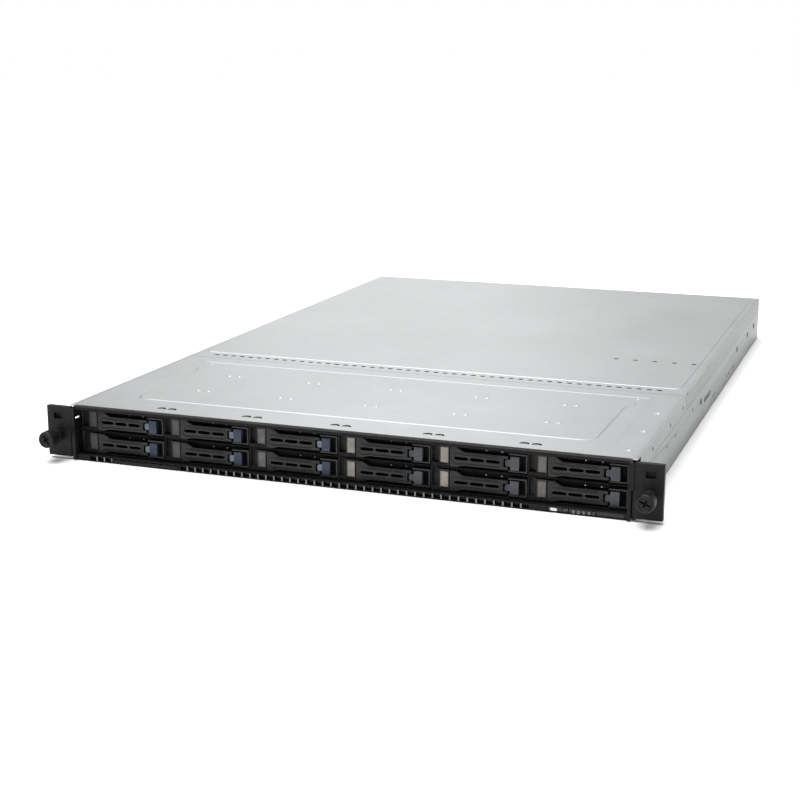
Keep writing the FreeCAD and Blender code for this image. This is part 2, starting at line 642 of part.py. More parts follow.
def vent_strip():
    """The bottom strip: a row of vents, the tag slot and the control panel window."""
    half = CAGE_HALF + CAGE_SHEET + END_WEB
    y0, y1 = STRIP_FRONT, STRIP_FRONT + STRIP_DEPTH
    strip = box(-half, half, y0, y1, 0, STRIP_HEIGHT)
    tag_right = TAG_SLOT_LEFT + TAG_SLOT_WIDTH
    cuts = [box(TAG_SLOT_LEFT, tag_right, y0 - 1, y1 + 1, -1, TAG_SLOT_HEIGHT)]
    cuts.append(box(CONTROL_LEFT, CONTROL_RIGHT, y0 - 1, y1 + 1, VENT_BOTTOM, STRIP_HEIGHT - VENT_TOP_BAR))
    count = int((VENT_RIGHT - VENT_LEFT) / VENT_PITCH)
    top = STRIP_HEIGHT - VENT_TOP_BAR
    for i in range(count):
        x0 = VENT_LEFT + VENT_PITCH * i
        x1 = x0 + VENT_PITCH - VENT_RIB
        over_tag = x1 > TAG_SLOT_LEFT - VENT_RIB and x0 < tag_right + VENT_RIB
        low = TAG_SLOT_HEIGHT + VENT_BOTTOM if over_tag else VENT_BOTTOM
        cuts.append(box(x0, x1, y0 - 1, y1 + 1, low, top))
    return strip.cut(Part.makeCompound(cuts))


def front_bezel():
    """Lip, end walls and vent strip in one moulding."""
    return fused([lip(), vent_strip()] + both_sides(end_wall()))


def info_tag():
    """A flat card in a slot under the carriers, with a lip to pull it by."""
    x0 = TAG_SLOT_LEFT + RUN * 2
    x1 = TAG_SLOT_LEFT + TAG_SLOT_WIDTH - RUN * 2
    top = TAG_SLOT_HEIGHT - RUN
    card = box(x0, x1, STRIP_FRONT, STRIP_FRONT + PULL_TAG_LENGTH, top - PULL_TAG_THICK, top)
    edge = box(x0, x1, STRIP_FRONT - SEAT, STRIP_FRONT + PULL_TAG_LIP, SEAT, top)
    return fused([card, edge])


# ---- drive cage and carriers -----------------------------------------------------------
def drive_cage():
    """Dividers and decks that make twelve bays, standing on the chassis floor."""
    y0, y1 = BEZEL_Y + RUN * 2, BACKPLANE_Y
    t = CAGE_SHEET / 2
    roof = ROOF_LOW + CAGE_SHEET
    pieces = []
    for z in (ROW_LOW - RUN - DECK_SHEET, ROW_HIGH - RUN - DECK_SHEET):
        pieces.append(box(-CAGE_HALF, CAGE_HALF, y0, y1, z, z + DECK_SHEET))
    pieces.append(box(-CAGE_HALF, CAGE_HALF, y0, y1, ROOF_LOW, roof))
    for k in range(COLUMNS + 1):
        x = -CAGE_HALF + BAY_PITCH * k
        on_floor = k in (0, COLUMNS // 2, COLUMNS)
        foot = SHEET if on_floor else ROW_LOW - RUN - DECK_SHEET
        pieces.append(box(x - t, x + t, y0, y1, foot, roof))
    return fused(pieces)


def bezel_blank():
    """The moulded front of a carrier before its rails: left block, back plate, right loop."""
    left = box(CARRIER_SIDE, LEFT_BLOCK_END, BEZEL_Y, BEZEL_REAR, 0, CARRIER_HEIGHT)
    back = box(CARRIER_SIDE, CARRIER_END, RECESS_Y, BEZEL_REAR, 0, CARRIER_HEIGHT)
    loop = box(LOOP_START, CARRIER_END, BEZEL_Y, BEZEL_REAR, LOOP_LOW, CARRIER_HEIGHT - LOOP_TOP)
    lug = box(LEFT_BLOCK_END, LEVER_ROOT_END, BEZEL_Y + LUG_SETBACK, RECESS_Y, 0, LUG_HEIGHT)
    upper = lug.copy()
    upper.translate(V(0, 0, CARRIER_HEIGHT - LUG_HEIGHT))
    return fused([left, back, loop, lug, upper])


def cove():
    """The hollow at the left end of a carrier: a quarter of an ellipse, open to the top."""
    ring = [(CARRIER_SIDE - 1, BEZEL_Y + COVE_DEPTH), (CARRIER_SIDE - 1, BEZEL_Y - 1),
            (CARRIER_SIDE + COVE_REACH, BEZEL_Y - 1)]
    for i in range(CURVE_STEPS + 1):
        turn = math.pi / 2 * i / CURVE_STEPS
        ring.append((CARRIER_SIDE + COVE_REACH * math.cos(turn), BEZEL_Y + COVE_DEPTH * math.sin(turn)))
    return along_z(ring, COVE_LOW, CARRIER_HEIGHT + COVE_LOW)


def carrier_frame():
    """Carrier front with its two steel rails, for a bay whose left divider is at X = 0."""
    tag = box(TAG_LEFT, TAG_RIGHT, BEZEL_Y - 1, BEZEL_Y + TAG_RECESS, TAG_LOW, CARRIER_HEIGHT - TAG_TOP)
    pocket = box(LOOP_START - 1, CARRIER_END - LOOP_BAR, BEZEL_Y - 1, RECESS_Y,
                 LOOP_LOW + LOOP_BAR, CARRIER_HEIGHT - LOOP_TOP - LOOP_BAR)
    front = bezel_blank().cut(Part.makeCompound([tag, pocket, cove()]))
    rails = []
    for x in (CARRIER_SIDE, CARRIER_END - RAIL):
        rails.append(box(x, x + RAIL, BEZEL_REAR, DRIVE_REAR, RAIL_LOW, CARRIER_HEIGHT - RAIL_TOP))
    return fused([front] + rails)


def carrier_trim():
    """Loose pieces fixed in a carrier: tag plate, hinge pin, light pipes and the drive."""
    tag = box(TAG_LEFT, TAG_RIGHT, BEZEL_Y + TAG_RECESS - TAG_THICK, BEZEL_Y + TAG_RECESS,
              TAG_LOW, CARRIER_HEIGHT - TAG_TOP)
    pin_y, length = BEZEL_Y + LEVER_THICK / 2, CARRIER_HEIGHT - 2 * LUG_HEIGHT
    flats = polygon_rod(PIN_X, pin_y, LUG_HEIGHT, PIN_FLAT / math.cos(math.pi / PIN_FLATS), length,
                        V(0, 0, 1), PIN_FLATS)
    pin = rod(PIN_X, pin_y, LUG_HEIGHT, PIN_RADIUS, length, V(0, 0, 1)).common(flats)
    pipes = [polygon_rod(BAY_PITCH - side, RECESS_Y, CARRIER_HEIGHT - PIPE_TOP, PIPE_RADIUS, PIPE_PROUD,
                         V(0, -1, 0), 4) for side in PIPE_SIDES]
    x0 = CARRIER_SIDE + RAIL
    drive = box(x0, x0 + DRIVE_WIDTH, DRIVE_Y, DRIVE_REAR, DRIVE_CLEARANCE, DRIVE_CLEARANCE + DRIVE_HEIGHT)
    return [tag, pin, drive] + pipes


def s_curve(x0, z0, x1, z1):
    """Points along a curve that leaves and arrives level, half a cosine wave."""
    points = []
    for i in range(CURVE_STEPS + 1):
        t = i / CURVE_STEPS
        points.append((x0 + (x1 - x0) * t, z0 + (z1 - z0) * (1 - math.cos(math.pi * t)) / 2))
    return points


def lever():
    """The carrier lever: broad root, waisted arm, three slots and a forked end."""
    ring = s_curve(LEVER_ROOT_END, LEVER_HIGH, LEVER_WAIST, LEVER_ARM_HIGH)
    ring += [(LEVER_END, LEVER_ARM_HIGH), (LEVER_END, LEVER_ARM_LOW), (LEVER_WAIST, LEVER_ARM_LOW),
             (LEVER_ROOT_END + LEVER_LOW, LEVER_LOW), (LEVER_START, LEVER_LOW), (LEVER_START, LEVER_HIGH)]
    plate = along_y(ring, BEZEL_Y, BEZEL_Y + LEVER_THICK)
    middle = (LEVER_ARM_LOW + LEVER_ARM_HIGH) / 2
    cuts = []
    for i in range(LEVER_SLOTS):
        x = SLOT_FIRST + SLOT_PITCH * i
        cuts.append(slot(x, x + SLOT_PITCH - SLOT_RIB, middle, SLOT_HEIGHT, BEZEL_Y - 1, RECESS_Y))
    cuts.append(box(NOTCH_START, LEVER_END + 1, BEZEL_Y - 1, RECESS_Y, NOTCH_LOW, NOTCH_HIGH))
    cuts.append(polygon_rod(PIN_X, BEZEL_Y + LEVER_THICK / 2, 0, PIN_RADIUS + PIN_CLEARANCE,
                            CARRIER_HEIGHT, V(0, 0, 1), PIN_SIDES))
    return plate.cut(Part.makeCompound(cuts))


def latch():
    """The thumb latch: a block with a tooth that reaches into the forked end of the lever."""
    y0 = BEZEL_Y + LATCH_SETBACK
    y1 = RECESS_Y - SEAT
    block = box(LATCH_START, LATCH_END, y0, y1, LEVER_ARM_LOW, LEVER_ARM_HIGH)
    m = TOOTH_MARGIN
    profile = [(TOOTH_START, NOTCH_LOW + 3 * m), (TOOTH_START + 2 * m, NOTCH_LOW + m),
               (LATCH_START, NOTCH_LOW + m), (LATCH_START, NOTCH_HIGH - m),
               (TOOTH_START + 2 * m, NOTCH_HIGH - m), (TOOTH_START, NOTCH_HIGH - 3 * m)]
    tooth_y = BEZEL_Y + TOOTH_SETBACK
    tooth = along_y(profile, tooth_y, tooth_y + TOOTH_THICK)
    return fused([block, tooth])


def bays():
    """Name and place of every bay: column, row, left divider and carrier underside."""
    for row, z in (("upper", ROW_HIGH), ("lower", ROW_LOW)):
        for column in range(COLUMNS):
            yield row + "_" + str(column + 1), V(-CAGE_HALF + BAY_PITCH * column, 0, z)


def drive_bays():
    """All carriers, levers and latches at their bays."""
    pieces = {"carrier_": [carrier_frame()] + carrier_trim(), "lever_": [lever()], "latch_": [latch()]}
    for bay, place in bays():
        for prefix, solids in pieces.items():
            moved = []
            for solid in solids:
                copy = solid.copy()
                copy.translate(place)
                moved.append(copy)
            save(prefix + bay, moved)


def drive_backplane():
    """The board behind the drives, with one connector for each bay."""
    y0 = BACKPLANE_Y
    half = CAGE_HALF - BACKPLANE_MARGIN
    board = box(-half, half, y0, y0 + BACKPLANE_THICK, SHEET, ROOF_LOW)
    windows = []
    middle = (ROW_LOW + ROW_HIGH + CARRIER_HEIGHT) / 2
    for k in range(COLUMNS):
        x = -CAGE_HALF + BAY_PITCH * (k + 0.5)
        windows.append(box(x - WINDOW_WIDTH / 2, x + WINDOW_WIDTH / 2, y0 - 1, y0 + BACKPLANE_THICK + 1,
                           middle - WINDOW_HEIGHT / 2, middle + WINDOW_HEIGHT / 2))
    solids = [board.cut(Part.makeCompound(windows))]
    for bay, place in bays():
        x = place.x + BAY_PITCH / 2
        z = place.z + CARRIER_HEIGHT / 2
        solids.append(box(x - CONNECTOR_WIDTH / 2, x + CONNECTOR_WIDTH / 2, y0 - CONNECTOR_DEPTH, y0,
                          z - CONNECTOR_HEIGHT / 2, z + CONNECTOR_HEIGHT / 2))
    return solids


# ---- rack ears -------------------------------------------------------------------------
def rack_ear():
    """The right ear: flange with a square pocket and screw hole, leg along the side wall."""
    inner = HALF - SHEET
    flange = box(inner, EAR_OUT, 0, EAR_THICK, EAR_LOW, CHASSIS_HEIGHT - EAR_TOP)
    front = END_FRONT + END_FLANGE + SEAT
    leg = box(inner - EAR_LEG_THICK, inner, front, EAR_LEG_LENGTH, EAR_LEG_LOW, EAR_LEG_HIGH)
    top = CHASSIS_HEIGHT - EAR_TOP - POCKET_TOP
    pocket = box(THUMB_X - POCKET_WIDTH / 2, THUMB_X + POCKET_WIDTH / 2, -1, POCKET_DEPTH,
                 top - POCKET_HEIGHT, top)
    hole = rod(THUMB_X, -1, THUMB_Z, SHOULDER_RADIUS + SCREW_CLEARANCE, EAR_THICK + 2, V(0, 1, 0))
    return fused([flange, leg]).cut(Part.makeCompound([pocket, hole]))


def thumbscrew():
    """The right thumbscrew: thread, shoulder in the ear, waisted grip, head with a crossed slot."""
    forward = V(0, -1, 0)
    head = KNOB_REACH - KNOB_HEAD
    step = EAR_THICK + SHOULDER_PROUD
    shoulder = polygon_rod(THUMB_X, -SEAT, THUMB_Z, SHOULDER_RADIUS, step + SEAT, V(0, 1, 0), KNURLS)
    shank = rod(THUMB_X, step, THUMB_Z, THREAD_RADIUS, THREAD_REACH - SHOULDER_PROUD, V(0, 1, 0))
    waist = polygon_rod(THUMB_X, -SEAT, THUMB_Z, KNOB_WAIST, head - SEAT, forward, KNURLS)
    grip = polygon_rod(THUMB_X, -head, THUMB_Z, KNOB_RADIUS, KNOB_HEAD - KNOB_CHAMFER, forward, KNURLS)
    rim = polygon_rod(THUMB_X, -KNOB_REACH + KNOB_CHAMFER, THUMB_Z, KNOB_RADIUS - KNOB_CHAMFER,
                      KNOB_CHAMFER, forward, KNURLS)
    long_half, short_half, half = DRIVE_SLOT_LONG / 2, DRIVE_SLOT_SHORT / 2, DRIVE_SLOT / 2
    y0, y1 = -KNOB_REACH - 1, -KNOB_REACH + DRIVE_SLOT
    cross = [box(THUMB_X - long_half, THUMB_X + long_half, y0, y1, THUMB_Z - half, THUMB_Z + half),
             box(THUMB_X - half, THUMB_X + half, y0, y1, THUMB_Z - short_half, THUMB_Z + short_half)]
    return fused([shank, shoulder, waist, grip, rim]).cut(Part.makeCompound(cross))


# ---- control panel ---------------------------------------------------------------------
def control_panel():
    """The small panel at the lower right, with lamp lenses and holes for two buttons."""
    x0, x1 = CONTROL_LEFT + RUN, CONTROL_RIGHT - RUN
    z0, z1 = VENT_BOTTOM + RUN, STRIP_HEIGHT - VENT_TOP_BAR - RUN
    face = box(x0, x1, CONTROL_FACE, STRIP_FRONT + STRIP_DEPTH, z0, z1)
    board = box(x0, x1, STRIP_FRONT + STRIP_DEPTH, CONTROL_DEPTH, SHEET, CONTROL_BOARD_TOP)
    cuts = []
    for x, length in ((POWER_X, POWER_LENGTH), (LOCATOR_X, LOCATOR_LENGTH)):
        cuts.append(box(x - length / 2 - SEAT, x + length / 2 + SEAT, 0, CONTROL_FACE + BUTTON_STEM + 0.5,
                        BUTTON_Z - BUTTON_HEIGHT / 2 - SEAT, BUTTON_Z + BUTTON_HEIGHT / 2 + SEAT))
    solids = [fused([face, board]).cut(Part.makeCompound(cuts))]
    for side in LAMP_SIDES:
        solids.append(polygon_rod(CONTROL_LEFT + side, CONTROL_FACE, BUTTON_Z, LAMP_RADIUS, LAMP_PROUD,
                                  V(0, -1, 0), 8))
    return solids


def button(x, length):
    """A push button: a cap with chamfered ends on a stem."""
    y0 = CONTROL_FACE - BUTTON_PROUD
    y1 = CONTROL_FACE + BUTTON_STEM - BUTTON_TRAVEL
    half, edge = length / 2, BUTTON_CHAMFER
    low, high = BUTTON_Z - BUTTON_HEIGHT / 2, BUTTON_Z + BUTTON_HEIGHT / 2
    ring = [(x - half + edge, low), (x + half - edge, low), (x + half, low + edge), (x + half, high - edge),
            (x + half - edge, high), (x - half + edge, high), (x - half, high - edge), (x - half, low + edge)]
    return along_y(ring, y0, y1)


# ---- inside ----------------------------------------------------------------------------
def cooling_fans():
    """A row of fan frames with a rotor in each."""
    solids = []
    for i in range(FAN_COUNT):
        x = FAN_PITCH * (i - (FAN_COUNT - 1) / 2)
        z = SHEET + FAN_SIZE / 2
        half = FAN_SIZE / 2
        frame = box(x - half, x + half, FAN_Y, FAN_Y + FAN_LENGTH, SHEET, SHEET + FAN_SIZE)
        motor = FAN_Y + MOTOR_SETBACK
        bore = polygon_rod(x, FAN_Y - 1, z, FAN_BORE, FAN_LENGTH + 2, V(0, 1, 0), FAN_SIDES)
        post = polygon_rod(x, motor, z, ROTOR_HUB, MOTOR_LENGTH, V(0, 1, 0))
        strut = box(x - STRUT_WIDTH / 2, x + STRUT_WIDTH / 2, motor, motor + STRUT_LENGTH,
                    SHEET, z - ROTOR_HUB / 2)
        solids.append(fused([frame.cut(bore), post, strut]))
        solids.append(rotor(x, z))
    return solids


def rotor(x, z):
    """A hub with flat blades set at an angle."""
    y0 = FAN_Y + MOTOR_SETBACK - SEAT - ROTOR_LENGTH
    hub = polygon_rod(x, y0, z, ROTOR_HUB, ROTOR_LENGTH, V(0, 1, 0))
    pieces = [hub]
    for k in range(BLADES):
        blade = Part.makeBox(BLADE_THICK, BLADE_LENGTH, ROTOR_TIP - BLADE_ROOT,
                             V(-BLADE_THICK / 2, -BLADE_LENGTH / 2, BLADE_ROOT))
        blade.rotate(V(0, 0, 0), V(0, 0, 1), BLADE_ANGLE)
        blade.rotate(V(0, 0, 0), V(0, 1, 0), 360 / BLADES * k)
        blade.translate(V(x, y0 + ROTOR_LENGTH / 2, z))
        pieces.append(blade)
    return fused(pieces)


def heat_sink(x):
    """An aluminium block with upright fins along the air flow."""
    half = SINK_WIDTH / 2
    low = BOARD_TOP + CPU_HEIGHT
    base = low + SINK_BASE
    top = CHASSIS_HEIGHT - SINK_TOP
    profile = [(x - half, low), (x + half, low)]
    pitch = (SINK_WIDTH - FIN_THICK) / (SINK_FINS - 1)
    for i in reversed(range(SINK_FINS)):
        left = x - half + pitch * i
        right = left + FIN_THICK
        if i < SINK_FINS - 1:
            profile.append((right, base))
        profile += [(right, top), (left, top)]
        if i > 0:
            profile.append((left, base))
    return along_y(profile, CPU_Y - SINK_LENGTH / 2, CPU_Y + SINK_LENGTH / 2)


def memory_module(x):
    """A memory module standing in its socket."""
    y0, y1 = CPU_Y - DIMM_LENGTH / 2, CPU_Y + DIMM_LENGTH / 2
    top = BOARD_TOP + SOCKET_HEIGHT
    socket = box(x - SOCKET_THICK / 2, x + SOCKET_THICK / 2, y0 - SOCKET_END, y1 + SOCKET_END, BOARD_TOP, top)
    card = box(x - DIMM_THICK / 2, x + DIMM_THICK / 2, y0, y1, top, CHASSIS_HEIGHT - DIMM_TOP)
    return fused([socket, card])


def centred(x, y, width, length, height):
    """A block standing on the main board, about a middle point."""
    return box(x - width / 2, x + width / 2, y - length / 2, y + length / 2, BOARD_TOP, BOARD_TOP + height)


def mainboard():
    """The stepped main board with processor sockets and chips."""
    ring = [(BOARD_LEFT, BOARD_FRONT), (BOARD_RIGHT, BOARD_FRONT), (BOARD_RIGHT, BOARD_STEP),
            (BOARD_REAR_RIGHT, BOARD_STEP), (BOARD_REAR_RIGHT, BOARD_REAR), (BOARD_LEFT, BOARD_REAR)]
    solids = [along_z(ring, BOARD_Z, BOARD_TOP)]
    for x in CPU_X:
        solids.append(centred(x, CPU_Y, CPU_WIDTH, CPU_LENGTH, CPU_HEIGHT))
    for x, y, side, height in CHIPS:
        solids.append(centred(BOARD_LEFT + x, BOARD_REAR - y, side, side, height))
    return solids


def memory_modules():
    """Banks of memory on both sides of each processor."""
    reach = SINK_WIDTH / 2 + BANK_GAP
    first = (CPU_X[0] - reach - DIMM_PITCH * (DIMM_PER_BANK - 1), CPU_X[0] + reach, CPU_X[1] + reach)
    solids = []
    for start in first:
        for i in range(DIMM_PER_BANK):
            solids.append(memory_module(start + DIMM_PITCH * i))
    return solids


def air_duct():
    """A thin hood that leads air over processors and memory."""
    t = DUCT_SHEET
    x0, x1 = BOARD_LEFT - 2 * t, BOARD_RIGHT + SEAT + t
    top = COVER_UNDER - SEAT
    profile = [(x0, SHEET), (x0, top), (x1, top), (x1, SHEET), (x1 - t, SHEET), (x1 - t, top - t),
               (x0 + t, top - t), (x0 + t, SHEET)]
    return along_y(profile, DUCT_FRONT, DUCT_REAR)


# ---- rear ------------------------------------------------------------------------------
def port_shell(side, width, height):
    """A metal shell with an open mouth at the rear edge of the main board."""
    x = BOARD_LEFT + side
    y1 = CHASSIS_DEPTH + PORT_PROUD
    shell = box(x, x + width, y1 - PORT_DEPTH, y1, BOARD_TOP, PORT_Z + height)
    mouth = box(x + PORT_WALL, x + width - PORT_WALL, y1 - PORT_MOUTH, y1 + 1,
                PORT_Z + PORT_WALL, PORT_Z + height - PORT_WALL)
    return shell.cut(mouth)


def rear_ports():
    """Two network ports, a stacked pair of serial-bus ports with tongues, a display port."""
    y1 = CHASSIS_DEPTH + PORT_PROUD
    solids = [port_shell(*port) for port in LAN_PORTS]
    side, width, height = USB_PORT
    x = BOARD_LEFT + side
    usb = port_shell(*USB_PORT)
    inner = height - 2 * PORT_WALL
    pieces = [usb]
    for quarter, thick in ((1, TONGUE), (2, PORT_WALL), (3, TONGUE)):
        z = PORT_Z + PORT_WALL + inner * quarter / 4
        pieces.append(box(x + PORT_WALL, x + width - PORT_WALL, y1 - PORT_MOUTH, y1 - TONGUE_SETBACK,
                          z - thick / 2, z + thick / 2))
    solids.append(fused(pieces))
    side, width, height = DISPLAY_PORT
    x = BOARD_LEFT + side
    plate = box(x, x + width, y1 - PORT_DEPTH, y1, BOARD_TOP, PORT_Z + height)
    low, high = PORT_Z + DISPLAY_MARGIN / 2, PORT_Z + height - DISPLAY_MARGIN / 2
    left, right = x + DISPLAY_MARGIN, x + width - DISPLAY_MARGIN
    ring = [(left + DISPLAY_SLOPE, low), (right - DISPLAY_SLOPE, low), (right, high), (left, high)]
    nose = along_y(ring, y1, y1 + DISPLAY_NOSE)
    solids.append(fused([plate, nose]))
    return solids


def riser_cards():
    """Two cards that stand on the main board behind the card slots."""
    rear = CHASSIS_DEPTH - 2 * SHEET
    solids = []
    for x in SLOT_GRILLES[:2]:
        left = x + RISER_X
        solids.append(box(left, left + BOARD_THICK, rear - RISER_LENGTH, rear, BOARD_TOP,
                          CHASSIS_HEIGHT - RISER_TOP))
    return solids


def power_supply(x):
    """One power supply: case, mains inlet, blower opening and a strap handle."""
    z0 = PSU_Z
    middle = z0 + PSU_HEIGHT / 2
    case = box(x, x + PSU_WIDTH, PSU_FRONT, PSU_REAR, z0, z0 + PSU_HEIGHT)
    inlet_x = x + PSU_WIDTH - INLET_MARGIN - INLET_WIDTH
    inlet_z = z0 + INLET_MARGIN
    back = PSU_REAR - INLET_DEPTH
    inlet = box(inlet_x, inlet_x + INLET_WIDTH, back, PSU_REAR + 1, inlet_z, inlet_z + INLET_HEIGHT)
    blower = polygon_rod(x + BLOWER_X, PSU_REAR - BLOWER_DEPTH, middle, BLOWER_RADIUS, BLOWER_DEPTH + 1,
                         V(0, 1, 0), 20)
    pins = []
    for i, height in enumerate(PIN_HEIGHTS):
        px = inlet_x + INLET_WIDTH / 2 + PIN_PITCH * (i - 1) - PIN_BLADE[0] / 2
        pz = inlet_z + height - PIN_BLADE[1] / 2
        pins.append(box(px, px + PIN_BLADE[0], back, PSU_REAR - PIN_SETBACK, pz, pz + PIN_BLADE[1]))
    body = fused([case.cut(Part.makeCompound([inlet, blower]))] + pins)
    hub = polygon_rod(x + BLOWER_X, PSU_REAR - BLOWER_DEPTH, middle, BLOWER_HUB, BLOWER_HUB_LENGTH,
                      V(0, 1, 0), 12)
    return [body, hub, psu_handle(x)]


def psu_handle(x):
    """A strap bent out from the face to make a finger loop."""
    left = x + PSU_WIDTH / 2 - HANDLE_WIDTH / 2
    y0, y1 = PSU_REAR, PSU_REAR + HANDLE_REACH
    t, c = HANDLE_STRAP, HANDLE_CORNER
    inner = c + t / 3
    ring = [(y0, HANDLE_LOW), (y1 - c, HANDLE_LOW), (y1, HANDLE_LOW + c), (y1, HANDLE_HIGH - c),
            (y1 - c, HANDLE_HIGH), (y0, HANDLE_HIGH), (y0, HANDLE_HIGH - t), (y1 - inner, HANDLE_HIGH - t),
            (y1 - t, HANDLE_HIGH - inner), (y1 - t, HANDLE_LOW + inner), (y1 - inner, HANDLE_LOW + t),
            (y0, HANDLE_LOW + t)]
    return along_x(ring, left, left + HANDLE_WIDTH)


def psu_latch(x):
    """The release tab beside the mains inlet, a plate with a thumb lip."""
    left = x + PSU_WIDTH - RELEASE_X
    z = PSU_Z + PSU_HEIGHT - RELEASE_Z
    y0 = PSU_REAR + SEAT
    y1 = y0 + RELEASE_REACH
    stem = box(left, left + RELEASE_WIDTH, y0, y1, z, z + RELEASE_THICK)
    thumb = box(left, left + RELEASE_WIDTH, y1 - RELEASE_THICK, y1, z - RELEASE_DROP, z + RELEASE_THICK)
    return fused([stem, thumb])


def chassis_screws():
    """Low screw heads along both sides."""
    solids = []
    for y, z in SIDE_SCREWS:
        head = polygon_rod(HALF, y, z, SIDE_SCREW_RADIUS, SIDE_SCREW_PROUD, V(1, 0, 0), 8)
        solids += both_sides(head)
    return solids


# ---- the whole server ------------------------------------------------------------------
save("chassis_base", chassis_base())
save("front_top_cover", front_top_cover())
save("rear_top_cover", rear_top_cover())
save("front_bezel", front_bezel())
save("drive_cage", drive_cage())
save("drive_backplane", drive_backplane())
drive_bays()
save("info_tag", info_tag())
save("control_panel", control_panel())
save("power_button", button(POWER_X, POWER_LENGTH))
save("locator_button", button(LOCATOR_X, LOCATOR_LENGTH))
save("right_rack_ear", rack_ear())
save("left_rack_ear", mirrored(rack_ear()))
save("right_thumbscrew", thumbscrew())
save("left_thumbscrew", mirrored(thumbscrew()))
save("cooling_fans", cooling_fans())
save("mainboard", mainboard() + memory_modules() + riser_cards())
save("rear_panel", [rear_panel()] + rear_ports())
save("heat_sinks", [heat_sink(x) for x in CPU_X])
save("air_duct", air_duct())
for side, psu_x in (("left", PSU_LEFT_X), ("right", PSU_RIGHT_X)):
    save("power_supply_" + side, power_supply(psu_x))
    save("power_supply_latch_" + side, psu_latch(psu_x))
save("chassis_screws", chassis_screws())
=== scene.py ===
import json
import math
import bmesh
import bpy
import numpy as np
from mathutils import Matrix, Vector

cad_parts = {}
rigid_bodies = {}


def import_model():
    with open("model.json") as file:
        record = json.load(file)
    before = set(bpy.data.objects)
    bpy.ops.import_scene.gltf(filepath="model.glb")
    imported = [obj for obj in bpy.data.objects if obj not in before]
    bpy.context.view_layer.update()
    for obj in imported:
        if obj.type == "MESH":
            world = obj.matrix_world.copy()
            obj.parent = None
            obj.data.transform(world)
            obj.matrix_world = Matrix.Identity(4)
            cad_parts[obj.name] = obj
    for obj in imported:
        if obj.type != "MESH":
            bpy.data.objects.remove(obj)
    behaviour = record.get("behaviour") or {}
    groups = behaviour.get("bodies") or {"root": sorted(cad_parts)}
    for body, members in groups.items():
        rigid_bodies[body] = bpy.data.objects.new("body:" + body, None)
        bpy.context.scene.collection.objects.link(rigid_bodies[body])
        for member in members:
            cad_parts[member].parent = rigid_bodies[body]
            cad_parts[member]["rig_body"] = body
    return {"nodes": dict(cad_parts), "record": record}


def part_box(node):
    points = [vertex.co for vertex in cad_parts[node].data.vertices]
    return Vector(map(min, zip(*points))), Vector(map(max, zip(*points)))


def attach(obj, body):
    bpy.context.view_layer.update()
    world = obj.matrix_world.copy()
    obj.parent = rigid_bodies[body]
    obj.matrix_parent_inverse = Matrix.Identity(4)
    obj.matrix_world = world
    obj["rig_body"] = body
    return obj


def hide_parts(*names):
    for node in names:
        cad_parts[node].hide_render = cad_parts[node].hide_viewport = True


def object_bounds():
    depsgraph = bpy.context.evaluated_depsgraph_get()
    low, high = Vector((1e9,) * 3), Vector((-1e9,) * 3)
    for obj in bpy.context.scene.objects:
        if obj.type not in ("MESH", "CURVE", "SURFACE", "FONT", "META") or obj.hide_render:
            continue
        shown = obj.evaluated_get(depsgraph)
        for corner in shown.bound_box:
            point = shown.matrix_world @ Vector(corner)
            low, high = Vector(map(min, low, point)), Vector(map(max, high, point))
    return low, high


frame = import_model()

# One-unit rack server with twelve drive carriers: the looks of every piece, built around
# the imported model, which is in metres. X runs to the right seen from the front, Y to the
# back, Z up. Sizes of formed details are in millimetres, their y counted from the front
# face of the rack ears.

MM = 0.001
NODES = frame["nodes"]
CAD_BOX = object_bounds()
BODY_OF = {n: o["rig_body"] for n, o in NODES.items()}
SLOT_OF = {entry["node"]: entry["material_slot"] for entry in frame["record"]["subparts"]}
COLUMNS = 6
ROWS = ("upper", "lower")
COLUMN_PITCH = 72


def box_of(node):
    """Lowest and highest corner of a node as arrays, in metres."""
    low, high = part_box(node)
    return np.array(low), np.array(high)


EAR_FRONT = box_of("right_rack_ear")[0][1]  # front face of the rack ears
HALF = box_of("rear_top_cover")[1][0] / MM  # half the width of the case


def at(x, y, z):
    """A point given in millimetres, in metres in the frame."""
    return np.array([x, y, z]) * MM + np.array([0, EAR_FRONT, 0])


# ---- patterns ----
def new_finish(name, colour, rough, metal=0.0, specular=0.5):
    """A material with a plain shader, ready for pattern nodes; returns it with its tree and shader."""
    material = bpy.data.materials.new(name)
    material.use_nodes = True
    tree = material.node_tree
    shader = tree.nodes["Principled BSDF"]
    shader.inputs["Base Color"].default_value = (*colour, 1)
    shader.inputs["Roughness"].default_value = rough
    shader.inputs["Metallic"].default_value = metal
    shader.inputs["Specular IOR Level"].default_value = specular
    material.diffuse_color = (*colour, 1)
    return material, tree, shader


def place(tree):
    """The object's own coordinates, in metres."""
    found = tree.nodes.get("place")
    if not found:
        found = tree.nodes.new("ShaderNodeTexCoord")
        found.name = "place"
    return found.outputs["Object"]


def stretched(tree, scale):
    """Coordinates scaled apart along the three axes, for grain that runs one way."""
    mapping = tree.nodes.new("ShaderNodeMapping")
    mapping.inputs["Scale"].default_value = scale
    tree.links.new(place(tree), mapping.inputs["Vector"])
    return mapping.outputs["Vector"]


def noise(tree, size, detail=3.0, rough=0.55, vector=None):
    """Cloudy pattern whose patches measure about size in metres."""
    made = tree.nodes.new("ShaderNodeTexNoise")
    made.inputs["Scale"].default_value = 1 / size
    made.inputs["Detail"].default_value = detail
    made.inputs["Roughness"].default_value = rough
    tree.links.new(vector or place(tree), made.inputs["Vector"])
    return made.outputs["Fac"]


def cells(tree, size):
    """Crystal-like cells about size across, each with its own colour."""
    made = tree.nodes.new("ShaderNodeTexVoronoi")
    made.inputs["Scale"].default_value = 1 / size
    tree.links.new(place(tree), made.inputs["Vector"])
    return made.outputs["Color"]


